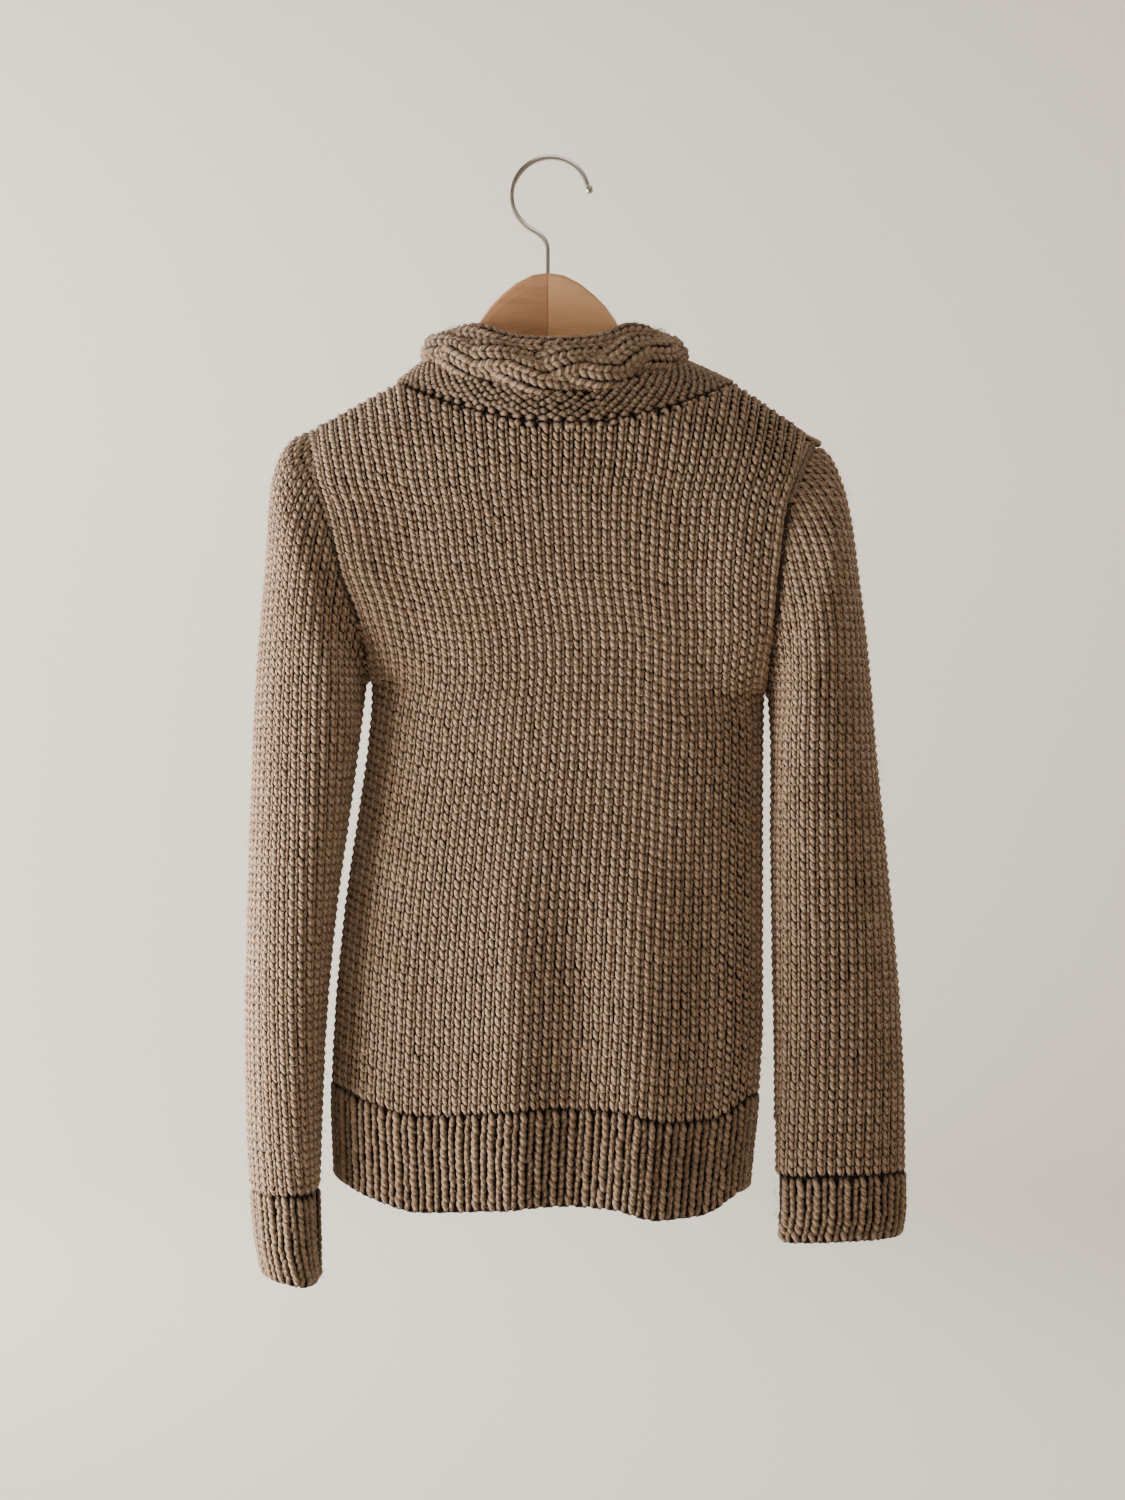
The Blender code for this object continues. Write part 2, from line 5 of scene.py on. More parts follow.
import bpy
import numpy as np
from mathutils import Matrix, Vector


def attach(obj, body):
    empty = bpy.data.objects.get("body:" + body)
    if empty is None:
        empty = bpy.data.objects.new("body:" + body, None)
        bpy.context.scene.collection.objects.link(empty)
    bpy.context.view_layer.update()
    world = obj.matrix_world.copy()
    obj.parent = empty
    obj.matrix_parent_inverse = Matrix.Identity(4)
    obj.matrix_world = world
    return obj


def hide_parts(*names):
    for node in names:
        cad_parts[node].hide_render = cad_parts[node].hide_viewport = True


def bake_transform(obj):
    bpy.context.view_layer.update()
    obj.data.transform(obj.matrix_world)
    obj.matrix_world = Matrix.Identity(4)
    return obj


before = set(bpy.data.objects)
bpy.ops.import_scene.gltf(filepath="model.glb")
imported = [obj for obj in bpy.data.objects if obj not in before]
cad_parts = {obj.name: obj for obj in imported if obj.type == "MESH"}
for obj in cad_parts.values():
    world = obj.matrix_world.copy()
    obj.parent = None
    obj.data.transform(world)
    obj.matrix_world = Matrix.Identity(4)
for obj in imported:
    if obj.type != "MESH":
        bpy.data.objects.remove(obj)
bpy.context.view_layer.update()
MM = 0.001
rng = np.random.default_rng(11)

# ---------------------------------------------------------------- camera, light
SCALE = 0.75            # mm of the hanger's plane to one step of the view's 1125 x 1500 frame
DIST = 1550.0           # mm from the camera to the hanger's plane
CAM = (10.9, -DIST, -442.5)


def setup_camera():
    cam = bpy.data.cameras.new("camera")
    cam.sensor_fit = "VERTICAL"
    cam.sensor_height = 36.0
    cam.lens = 36.0 * DIST / (1500 * SCALE)
    cam.clip_end = 60
    obj = bpy.data.objects.new("camera", cam)
    bpy.context.scene.collection.objects.link(obj)
    obj.location = Vector(CAM) * MM
    obj.rotation_euler = (math.pi / 2, 0, 0)
    bpy.context.scene.camera = obj


# ---------------------------------------------------------------- mesh helpers
def mesh_object(name, verts, quads, mat, uvs=None, attrs=None, smooth=True):
    me = bpy.data.meshes.new(name)
    verts = np.ascontiguousarray(verts, np.float32)
    quads = np.ascontiguousarray(quads, np.int32)
    me.vertices.add(len(verts))
    me.vertices.foreach_set("co", verts.ravel())
    me.loops.add(quads.size)
    me.loops.foreach_set("vertex_index", quads.ravel())
    me.polygons.add(len(quads))
    me.polygons.foreach_set("loop_start", np.arange(0, quads.size, quads.shape[1], dtype=np.int32))
    if smooth:
        me.polygons.foreach_set("use_smooth", np.ones(len(quads), bool))
    me.update(calc_edges=True)
    for layer, co in (uvs or {}).items():
        uv = me.uv_layers.new(name=layer)
        uv.data.foreach_set("uv", np.ascontiguousarray(co, np.float32).ravel())
    for key, values in (attrs or {}).items():
        at = me.attributes.new(key, "FLOAT", "POINT")
        at.data.foreach_set("value", np.ascontiguousarray(values, np.float32))
    me.materials.append(mat)
    obj = bpy.data.objects.new(name, me)
    bpy.context.scene.collection.objects.link(obj)
    return obj


def table(rows, q):
    pts = np.array(sorted(rows), float)
    x, y = pts[:, 0], pts[:, 1]
    h = np.diff(x)
    d = np.diff(y) / h
    m = np.zeros(len(x))
    m[0], m[-1] = d[0], d[-1]
    for i in range(1, len(x) - 1):
        m[i] = 0.0 if d[i - 1] * d[i] <= 0 else 2 * d[i - 1] * d[i] / (d[i - 1] + d[i])
    q = np.clip(np.asarray(q, float), x[0], x[-1])
    i = np.clip(np.searchsorted(x, q, side="right") - 1, 0, len(h) - 1)
    t = (q - x[i]) / h[i]
    return ((2 * t ** 3 - 3 * t ** 2 + 1) * y[i] + (t ** 3 - 2 * t ** 2 + t) * h[i] * m[i]
            + (-2 * t ** 3 + 3 * t ** 2) * y[i + 1] + (t ** 3 - t ** 2) * h[i] * m[i + 1])


def smooth(t):
    t = np.clip(t, 0.0, 1.0)
    return t * t * (3 - 2 * t)


def unit(v):
    return v / np.maximum(np.linalg.norm(v, axis=-1, keepdims=True), 1e-9)


# ---------------------------------------------------------------- the garment's surface
HALF_GAP = 2.0
BODY_N = 2.5
SHOULDER_ROUND = 55.0
ARMHOLE_DEPTH = 46.0
SHOULDER_L, SHOULDER_R = (-172.0, -199.0), (200.0, -208.0)
UNDERARM_L, UNDERARM_R = -392.0, -400.0
RIB_HEIGHT = 72.0
HEM_GAP = 0.4
EDGE_L = [(-199, -172), (-235, -171), (-270, -160), (-315, -150), (-345, -139),
          (-370, -134), (-400, -132), (-440, -135), (-490, -142), (-560, -152),
          (-640, -159.5), (-700, -162), (-761, -160), (-790, -159)]
EDGE_R = [(-208, 200), (-235, 187), (-265, 176), (-300, 171), (-340, 167),
          (-380, 163), (-420, 161.5), (-490, 161), (-560, 161), (-640, 161),
          (-700, 158), (-740, 154), (-790, 149)]
DEPTH = [(-160, 52), (-300, 51), (-420, 52), (-560, 54), (-700, 53), (-790, 49)]
HEM = [(-160, -761), (-125, -774), (-95, -781), (-40, -778), (5, -775),
       (50, -777), (90, -786), (120, -785), (150, -770)]
RING_NECK = (13.0, 127.0, 53.0, -168.0, -205.0, -222.0)
RING_BAND = (8.0, 100.0, 50.0, -151.0, -185.0, -200.0)
RING_EDGE = (6.0, 91.0, 46.0, -133.0, -148.0, -162.0)
RING_TOP = (7.0, 82.0, 41.0, -126.0, -139.5, -151.0)
SLEEVE_L = [(-195, -213, -136.5, -396, 50, 0), (-207, -245, -137.0, -404, 54, -2),
            (-211, -300, -138.0, -416, 55, -4), (-217, -365, -140.5, -440, 53, -6),
            (-221, -440, -147.0, -490, 50, -8), (-224, -540, -157.0, -565, 47, -10),
            (-226, -640, -164.5, -650, 44, -11), (-225, -720, -167.5, -722, 41, -12),
            (-222.5, -766, -169.0, -767, 39, -12)]
CUFF_L = [(-222.0, -767, -169.2, -768, 39.5, -12), (-219, -800, -168.5, -804, 39, -12),
          (-214, -829, -168.0, -835, 36, -12)]
SLEEVE_R = [(214, -226, 165.0, -405, 50, 0), (225, -262, 165.5, -413, 53, -2),
            (233, -315, 166.0, -427, 53, -3), (240, -370, 166.0, -452, 49, -4),
            (246, -440, 165.5, -492, 43, -5), (255, -530, 166.0, -562, 35, -6),
            (264, -630, 167.5, -645, 27, -6), (268, -710, 168.5, -714, 21, -6),
            (268.5, -757, 168.8, -757.5, 18.5, -6)]
CUFF_R = [(268.8, -758, 168.6, -758.5, 19.5, -6), (269, -785, 169.0, -786, 18.5, -6),
          (266, -807, 171.5, -808, 15.5, -6)]
U_NECK0, U_NECK1 = 0.155, 0.835


def ring_point(ring, theta):
    cx, a, b, side, back, front = ring
    c, s = np.cos(theta), np.sin(theta)
    level = np.where(s < 0, back, front)
    return np.stack([cx + a * c, b * s, side + (level - side) * s * s], -1)


def top_edge(u, back):
    sign = -1.0 if back else 1.0
    left, right = ring_point(RING_NECK, np.pi), ring_point(RING_NECK, 0.0)
    sl = np.array([SHOULDER_L[0], 0, SHOULDER_L[1]])
    sr = np.array([SHOULDER_R[0], 0, SHOULDER_R[1]])
    t0 = (u / U_NECK0)[..., None]
    t1 = ((u - U_NECK1) / (1 - U_NECK1))[..., None]
    tn = (u - U_NECK0) / (U_NECK1 - U_NECK0)
    neck = ring_point(RING_NECK, sign * (np.pi - np.pi * tn))
    out = np.where((u <= U_NECK0)[..., None], sl + (left - sl) * t0, neck)
    return np.where((u >= U_NECK1)[..., None], right + (sr - right) * t1, out)


def armhole_depth(z, left):
    top, low = (SHOULDER_L[1], UNDERARM_L) if left else (SHOULDER_R[1], UNDERARM_R)
    q = 1 - ((z - (top + low) / 2) / ((top - low) / 2)) ** 2
    return ARMHOLE_DEPTH * np.sqrt(np.maximum(0.0, q))


def torso(u, z):
    x0, x1 = table(EDGE_L, z), table(EDGE_R, z)
    angle = np.pi * u
    c, s = np.cos(angle), np.sin(angle)
    x = (x0 + x1) / 2 - (x1 - x0) / 2 * np.sign(c) * np.abs(c) ** (2 / BODY_N)
    depth = table(DEPTH, z)
    edge = armhole_depth(z, True) * (1 - smooth(u * 2)) + armhole_depth(z, False) * smooth(u * 2 - 1)
    hold = edge / depth
    return x, depth * (hold + (1 - hold) * np.maximum(s, 0) ** (2 / BODY_N))


def folds(x, z, back):
    """Soft vertical folds of the hanging body, outwards positive, in mm."""
    low = smooth((-470 - z) / 150)
    f = (4.5 * np.exp(-((x + 26) / 17) ** 2) - 5.0 * np.exp(-((x - 20) / 19) ** 2)
         + 3.0 * np.exp(-((x - 66) / 20) ** 2) - 3.0 * np.exp(-((x - 112) / 17) ** 2)
         - 3.0 * np.exp(-((x + 84) / 22) ** 2)) * low
    if not back:
        f = (4 * np.sin(x / 27.0 + 0.6) + 2 * np.sin(x / 13.0)) * low * np.exp(-(x / 130) ** 4)
    drag = 2.5 * np.sin((x + 0.35 * z) / 26.0) * smooth((-230 - z) / 60) * (1 - smooth((-360 - z) / 90)) \
        * smooth((np.abs(x - 8) - 70) / 50)
    return f + drag


def rib_top(u):
    x, _ = torso(u, np.full_like(u, -700.0))
    return table(HEM, x) + RIB_HEIGHT


def top_line(x, back):
    """Height and distance from the middle plane of a panel's upper edge at x."""
    cx, a, b, side, rear, front = RING_NECK
    s2 = np.maximum(0, 1 - ((x - cx) / a) ** 2)
    z = side + ((rear if back else front) - side) * s2
    left = SHOULDER_L[1] + (x - SHOULDER_L[0]) / (cx - a - SHOULDER_L[0]) * (side - SHOULDER_L[1])
    right = SHOULDER_R[1] + (x - SHOULDER_R[0]) / (cx + a - SHOULDER_R[0]) * (side - SHOULDER_R[1])
    z = np.where(x < cx - a, left, np.where(x > cx + a, right, z))
    return z, b * np.sqrt(s2)


def body_depth(x, z, back):
    """Distance of the panel's outer face from the middle plane."""
    x0, x1 = table(EDGE_L, z), table(EDGE_R, z)
    t = np.clip((x - x0) / (x1 - x0), 0, 1)
    c = np.abs(2 * t - 1) ** (BODY_N / 2)
    s = np.sqrt(np.maximum(0, 1 - c * c)) ** (2 / BODY_N)
    depth = table(DEPTH, z)
    edge = armhole_depth(z, True) * (1 - smooth(t * 2)) + armhole_depth(z, False) * smooth(t * 2 - 1)
    hold = edge / depth
    full = depth * (hold + (1 - hold) * s)
    ztop, ey = top_line(x, back)
    q = np.clip((ztop - z) / SHOULDER_ROUND, 0, 1)
    turn = np.sqrt(np.maximum(0, 1 - (1 - q) ** 2))
    soft = smooth(np.minimum(t, 1 - t) * 9) * turn
    return 0.3 + (ey + (full - ey) * turn) + folds(x, z, back) * soft


def panel_sheet(back, inset, nx=90, nz=110):
    """The cloth's inner layer, edge to edge."""
    t, v = np.meshgrid(np.linspace(0, 1, nx), np.linspace(0, 1, nz))
    edge = SHOULDER_L[0] + (SHOULDER_R[0] - SHOULDER_L[0]) * t
    ztop = top_line(edge, back)[0] - inset * 1.3
    x = np.zeros_like(t)
    low = np.full_like(t, -700.0)
    for _ in range(3):
        z = low + (ztop - low) * (1 - (1 - v) ** 1.6)
        x0, x1 = table(EDGE_L, z), table(EDGE_R, z)
        x = x0 + (x1 - x0) * t
        low = table(HEM, x[:1].repeat(nz, 0)) + RIB_HEIGHT
    y = np.maximum(body_depth(x, z, back) - inset, 0.3)
    x = (x - 10) * (1 - (inset + 9 * v ** 12) / 190) + 10
    P = np.stack([x, -y if back else y, z], -1)
    return P if back else P[:, ::-1]


W_BODY = 51
BOUND_OFF = 1.75


def wale_table(back, nk):
    """x of every wale at every level; the outer ones stop at the armholes."""
    levels = np.arange(-800.0, -120.0, 3.0)
    k = np.linspace(0, W_BODY, nk)
    X = np.empty((len(levels), nk))
    keep = np.ones((len(levels), nk), bool)
    hold = -238.0
    for i, z in enumerate(levels):
        if z > hold:
            continue
        zz = np.full(300, z)
        x0, x1 = table(EDGE_L, z), table(EDGE_R, z)
        ang = np.pi * np.linspace(0, 1, 300)
        c = np.cos(ang)
        x = (x0 + x1) / 2 - (x1 - x0) / 2 * np.sign(c) * np.abs(c) ** (2 / BODY_N)
        side = np.sqrt(np.maximum(0, 1 - c * c)) ** (2 / BODY_N)
        h = 0.8 * smooth((z - UNDERARM_L + 40) / 110)
        y = table(DEPTH, zz) * (h + (1 - h) * side)
        arc = np.concatenate([[0], np.cumsum(np.hypot(np.diff(x), np.diff(y)))])
        kl = BOUND_OFF * smooth((z - UNDERARM_L + 8) / 60)
        kr = BOUND_OFF * smooth((z - UNDERARM_R + 8) / 60)
        q = (k - kl) / (W_BODY - kl - kr)
        X[i] = np.interp(np.clip(q, 0, 1), arc / arc[-1], x)
        X[i] += (np.minimum(q, 0) + np.maximum(q - 1, 0)) * arc[-1] * (z > UNDERARM_R - 10)
        keep[i] = (q >= -0.002) & (q <= 1.002)
    last = np.where(levels <= hold)[0][-1]
    slope = (X[last] - X[last - 8]) / (levels[last] - levels[last - 8])
    for i in range(last + 1, len(levels)):
        X[i] = X[last] + slope * (levels[i] - levels[last]) * 0.8
        keep[i] = keep[last]
    return levels, k, X, keep


def panel_columns(back):
    """Columns along the wales, each from the rib's top to where it is cut off or sewn."""
    nk = W_BODY * 4 + 1
    levels, k, X, keep = wale_table(back, nk)
    w = np.linspace(0, 1, 420)
    cols, cut = [], []
    for j in range(nk):
        low = table(HEM, np.interp(-700.0, levels, X[:, j])) + RIB_HEIGHT + HEM_GAP
        ztop, _ = top_line(X[:, j], back)
        stop = np.where(levels > ztop)[0]
        i = stop[stop > 20][0]
        d0, d1 = ztop[i - 1] - levels[i - 1], ztop[i] - levels[i]
        end = levels[i - 1] + (levels[i] - levels[i - 1]) * d0 / (d0 - d1)
        off = np.where(~keep[:, j])[0]
        cut.append(levels[off[0]] if len(off) else 1e3)
        z = low + (end - low) * (1 - (1 - w) ** 2)
        x = np.interp(z, levels, X[:, j])
        y = body_depth(x, z, back)
        cols.append(np.stack([x, -y if back else y, z], -1))
    return np.stack(cols, 1), np.array(cut)


def hem_grid(back, nu=220, nv=60):
    levels, k, X, _ = wale_table(back, nu)
    x = np.interp(-700.0, levels, levels) * 0 + np.array([np.interp(-700.0, levels, X[:, j]) for j in range(nu)])
    low = table(HEM, x)[None, :]
    v = np.linspace(0, 1, nv)[:, None]
    z = low + (RIB_HEIGHT + 1.0) * v
    x = np.stack([np.interp(z[:, j], levels, X[:, j]) for j in range(nu)], 1)
    y = body_depth(x, z, back)
    return np.stack([x, -y if back else y, z], -1)


def armhole_ring(phi, left):
    top, low = (SHOULDER_L[1], UNDERARM_L) if left else (SHOULDER_R[1], UNDERARM_R)
    edges = EDGE_L if left else EDGE_R
    z = (top + low) / 2 + (top - low) / 2 * np.cos(phi)
    depth = armhole_depth(z, left)
    t = np.clip((top - z) / SHOULDER_ROUND, 0, 1)
    depth = depth * np.sqrt(np.maximum(0, 1 - (1 - t) ** 2))
    return np.stack([table(edges, z), depth * np.sign(np.sin(phi)), z], -1)


def sleeve_grid(stations, left, top, nu=240, nv=360, even=True):
    """Dense sleeve surface; v runs from the cuff's end up to the armhole."""
    st = np.array(stations, float)
    if top:
        ring_o, ring_i = armhole_ring(np.array([0.0]), left)[0], armhole_ring(np.array([np.pi]), left)[0]
        st = np.vstack([[ring_o[0], ring_o[2], ring_i[0], ring_i[2], ARMHOLE_DEPTH, 0.0], st])
    cum = np.concatenate([[0], np.cumsum(np.hypot(np.diff((st[:, 0] + st[:, 2]) / 2),
                                                  np.diff((st[:, 1] + st[:, 3]) / 2))
                                         + 0.5 * np.hypot(np.diff(st[:, 0]), np.diff(st[:, 1])))])
    s = np.linspace(0, cum[-1], nv)
    col = [table(list(zip(cum, st[:, k])), s)[:, None] for k in range(6)]
    phi = np.pi - 2 * np.pi * np.linspace(0, 1, nu) if left else np.pi + 2 * np.pi * np.linspace(0, 1, nu)
    c, sn = np.cos(phi)[None, :], np.sin(phi)[None, :]
    cc, ss = np.sign(c) * np.abs(c) ** 0.9, np.sign(sn) * np.abs(sn) ** 0.9
    ox, oz, ix, iz, b, cy = col
    P = np.stack([(ox + ix) / 2 + (ox - ix) / 2 * cc, cy + b * ss, (oz + iz) / 2 + (oz - iz) / 2 * cc], -1)
    # the outer edge hangs a little further back than the inner one
    P[..., 1] += 8.0 * cc * (smooth((s - 40) / 140) if top else np.ones(nv))[:, None]
    if top:
        ring = armhole_ring(phi, left)[None]
        fade = np.exp(-(s / 26.0) ** 2)[:, None, None]
        P = P + (ring - P[:1]) * fade
    P = P[::-1]                                     # cuff first
    if not even:
        return P
    # spread the wales evenly round each row
    out = np.empty_like(P)
    for i in range(nv):
        d = np.linalg.norm(np.diff(P[i], axis=0), axis=1)
        a = np.concatenate([[0], np.cumsum(d)])
        # measured from the outer line, in the middle of the row
        q = np.linspace(0, a[-1], nu)
        for k in range(3):
            out[i, :, k] = np.interp(q, a, P[i, :, k])
    return out


def sleeve_levels(P, left, wale, ds=2.0):
    """Re-reads a sleeve's surface level by level, with every wale at a constant
    distance from the outer line, so that the armhole and the underarm cut them."""
    edges = EDGE_L if left else EDGE_R
    nv, nu, _ = P.shape
    mid = (nu - 1) // 2
    outer = P[:, mid]
    arc = np.concatenate([[0], np.cumsum(np.linalg.norm(np.diff(outer, axis=0), axis=1))])
    s = np.arange(0, arc[-1], ds)
    zs = np.interp(s, arc, outer[:, 2])
    under = UNDERARM_L if left else UNDERARM_R
    top = SHOULDER_L[1] if left else SHOULDER_R[1]
    count = 27
    a_grid = np.linspace(-count, count, count * 8 + 1) * wale
    G = np.empty((len(s), len(a_grid), 3))
    low, high = np.empty(len(s)), np.empty(len(s))
    inside = P[:, :, 2]
    for i, z in enumerate(zs):
        pts = np.empty((nu, 3))
        ok = np.ones(nu, bool)
        for j in range(nu):
            zc = inside[:, j]
            if z > zc[-1] + 0.3:
                ok[j] = False
                continue
            pts[j, 0] = np.interp(z, zc, P[:, j, 0])
            pts[j, 1] = np.interp(z, zc, P[:, j, 1])
            pts[j, 2] = z
        front, rear = pts[:mid + 1][ok[:mid + 1]], pts[mid:][ok[mid:]]
        if z > under:
            q = np.clip((top - z) / SHOULDER_ROUND, 0, 1)
            d = float(armhole_depth(z, left)) * math.sqrt(max(0.0, 1 - (1 - q) ** 2))
            x = float(table(edges, z))
            sign = 1.0 if left else -1.0
            front = np.vstack([[x, sign * d, z], front]) if len(front) else np.array([[x, sign * d, z]])
            rear = np.vstack([rear, [x, -sign * d, z]])
        line = np.vstack([front, rear[1:]]) if len(front) > 1 else np.vstack([front, rear])
        c = np.concatenate([[0], np.cumsum(np.linalg.norm(np.diff(line, axis=0), axis=1))])
        m = c[len(front) - 1]
        c = c - m
        low[i], high[i] = c[0], c[-1]
        out = np.stack([np.interp(a_grid, c, line[:, q]) for q in range(3)], -1)
        for end, at_, step in ((a_grid < c[0], 0, 3), (a_grid > c[-1], -1, -4)):
            if end.any() and len(line) > 4:
                t = unit(line[at_] - line[step])
                out[end] = line[at_] + t * np.abs(a_grid[end] - c[at_])[:, None]
        G[i] = out
    # smooth the level-by-level reading, then tuck the cut edges under
    for _ in range(3):
        G[1:-1] = (G[:-2] + 2 * G[1:-1] + G[2:]) / 4
    along, across = np.gradient(G, axis=0), np.gradient(G, axis=1)
    n = unit(np.cross(across, along))
    edge = np.minimum(a_grid[None] - low[:, None], high[:, None] - a_grid[None])
    cut = zs[:, None] > under - 12
    G = G - n * np.where(cut, 2.8 * np.exp(-np.maximum(edge, 0) / 4.0), 0)[..., None]
    return G, s, low / wale, high / wale, count


class Fabric:
    """A dense surface read by (u, s): u across, s mm along the wales from the first row."""

    def __init__(self, P, wrap=False, ds=2.0, cut=None):
        nv, nu, _ = P.shape
        seg = np.linalg.norm(np.diff(P, axis=0), axis=2)
        cum = np.vstack([np.zeros((1, nu)), np.cumsum(seg, axis=0)])
        self.length = cum[-1]
        smax = self.length.max() + 8
        ns = int(smax / ds) + 1
        self.s = np.linspace(0, smax, ns)
        G = np.empty((ns, nu, 3))
        for j in range(nu):
            for k in range(3):
                G[:, j, k] = np.interp(self.s, cum[:, j], P[:, j, k])
            # go on straight past the end
            over = self.s > self.length[j]
            if over.any():
                near = [np.interp(self.length[j] - 9.0, cum[:, j], P[:, j, k]) for k in range(3)]
                t = unit(P[-1, j] - np.array(near))
                G[over, j] = P[-1, j] + t * (self.s[over] - self.length[j])[:, None]
        if cut is not None:
            for j in np.where(cut < P[-1, :, 2])[0]:
                self.length[j] = np.interp(cut[j], P[:, j, 2], cum[:, j])
        self.G, self.wrap = G, wrap
        along = np.gradient(G, axis=0)
        if wrap:
            across = np.roll(G, -1, 1) - np.roll(G, 1, 1)
            across[:, 0] = G[:, 1] - G[:, -2]
            across[:, -1] = across[:, 0]
        else:
            across = np.gradient(G, axis=1)
        n = np.cross(across, along)
        # smooth the normals a little
        n = unit(n)
        for _ in range(2):
            n[1:-1] = (n[:-2] + 2 * n[1:-1] + n[2:]) / 4
        self.N = unit(n)
        self.width = np.linalg.norm(np.diff(G, axis=1), axis=2).sum(1)

    @classmethod
    def from_levels(cls, G, s, low, high, wale):
        """Rows already level by level; low and high are the cloth's ends in wales, row by row."""
        self = cls.__new__(cls)
        self.G, self.s, self.wrap = G, s, False
        along, across = np.gradient(G, axis=0), np.gradient(G, axis=1)
        n = unit(np.cross(across, along))
        for _ in range(2):
            n[1:-1] = (n[:-2] + 2 * n[1:-1] + n[2:]) / 4
        self.N = unit(n)
        self.length = np.full(G.shape[1], s[-1])
        self.low, self.high = low, high
        self.width = np.full(len(s), 1.0)
        return self

    def at(self, u, s):
        ns, nu, _ = self.G.shape
        if self.wrap:
            u = np.mod(u, 1.0)
        fu = np.clip(u, 0, 1) * (nu - 1)
        fs = np.clip(s / self.s[-1], 0, 1) * (ns - 1)
        iu, js = np.minimum(fu.astype(int), nu - 2), np.minimum(fs.astype(int), ns - 2)
        du, dv = (fu - iu)[..., None], (fs - js)[..., None]

        def mix(A):
            return ((A[js, iu] * (1 - du) + A[js, iu + 1] * du) * (1 - dv)
                    + (A[js + 1, iu] * (1 - du) + A[js + 1, iu + 1] * du) * dv)
        return mix(self.G), unit(mix(self.N))

    def reach(self, u):
        u = np.mod(u, 1.0) if self.wrap else np.clip(u, 0, 1)
        return np.interp(u, np.linspace(0, 1, len(self.length)), self.length)

    def row_width(self, s):
        return np.interp(s, self.s, self.width)


# ---------------------------------------------------------------- stitches
def closed_path(keys, n):
    """Catmull-Rom through one stitch's key points; a grows by one per stitch."""
    keys = np.array(keys, float)
    m = len(keys)
    t = np.arange(n) / n * m
    i = t.astype(int)
    f = (t - i)[:, None]

    def key(k):
        turns = np.floor_divide(k, m)
        p = keys[np.mod(k, m)].copy()
        p[:, 0] += turns
        return p
    p0, p1, p2, p3 = key(i - 1), key(i), key(i + 1), key(i + 2)
    return 0.5 * (2 * p1 + (p2 - p0) * f + (2 * p0 - 5 * p1 + 4 * p2 - p3) * f ** 2
                  + (3 * p1 - p0 - 3 * p2 + p3) * f ** 3)


# a (wales), b (rows), c (share of the loop's half thickness), r (share of the yarn's radius)
PLAIN = [(0.15, -0.80, -1.10, 0.66),
         (0.40, -0.79, -0.80, 0.64),
         (0.50, -0.60, -0.10, 0.68),
         (0.43, -0.30, 0.62, 0.94),
         (0.30, 0.06, 1.00, 1.10),
         (0.18, 0.42, 0.62, 0.96),
         (0.09, 0.70, -0.10, 0.70),
         (0.17, 0.88, -0.90, 0.64),
         (0.45, 0.94, -1.15, 0.64),
         (0.71, 0.87, -0.75, 0.62),
         (0.785, 0.60, 0.10, 0.64),
         (0.775, 0.18, 0.72, 0.70),
         (0.775, -0.24, 0.68, 0.70),
         (0.79, -0.60, 0.05, 0.64),
         (0.91, -0.80, -0.80, 0.64)]
RIB = [(0.02, -0.84, -1.10, 0.80),
       (0.24, -0.80, -0.40, 0.90),
       (0.325, -0.42, 0.60, 1.05),
       (0.25, 0.06, 1.00, 1.16),
       (0.175, 0.52, 0.55, 1.06),
       (0.24, 0.92, -0.45, 0.86),
       (0.50, 1.02, -1.10, 0.80),
       (0.73, 0.90, -0.45, 0.84),
       (0.775, 0.50, 0.45, 0.94),
       (0.765, 0.02, 0.80, 0.98),
       (0.725, -0.45, 0.55, 0.94),
       (0.78, -0.82, -0.45, 0.84)]


# the cable's and the edge's open V, both legs alike
VEE = [(0.00, -0.84, -1.10, 0.66),
       (0.30, -0.84, -0.60, 0.70),
       (0.46, -0.62, 0.10, 0.80),
       (0.40, -0.24, 0.78, 1.08),
       (0.27, 0.16, 1.00, 1.20),
       (0.15, 0.54, 0.40, 0.98),
       (0.17, 0.90, -0.60, 0.70),
       (0.50, 1.00, -1.10, 0.66),
       (0.83, 0.90, -0.60, 0.70),
       (0.85, 0.54, 0.40, 0.98),
       (0.73, 0.16, 0.95, 1.16),
       (0.60, -0.24, 0.74, 1.04),
       (0.54, -0.62, 0.05, 0.78),
       (0.70, -0.84, -0.60, 0.70)]

# the purl side: only the heads and the sinkers show, as staggered bumps
PURL = [(0.00, -0.66, 1.05, 1.28),
        (0.20, -0.72, 0.30, 1.05),
        (0.33, -0.45, -0.70, 0.90),
        (0.30, 0.05, -1.00, 0.90),
        (0.24, 0.45, -0.55, 0.90),
        (0.30, 0.80, 0.35, 1.05),
        (0.50, 0.86, 1.10, 1.28),
        (0.70, 0.80, 0.35, 1.05),
        (0.76, 0.45, -0.55, 0.90),
        (0.70, 0.05, -1.00, 0.90),
        (0.67, -0.45, -0.70, 0.90),
        (0.80, -0.72, 0.30, 1.05)]


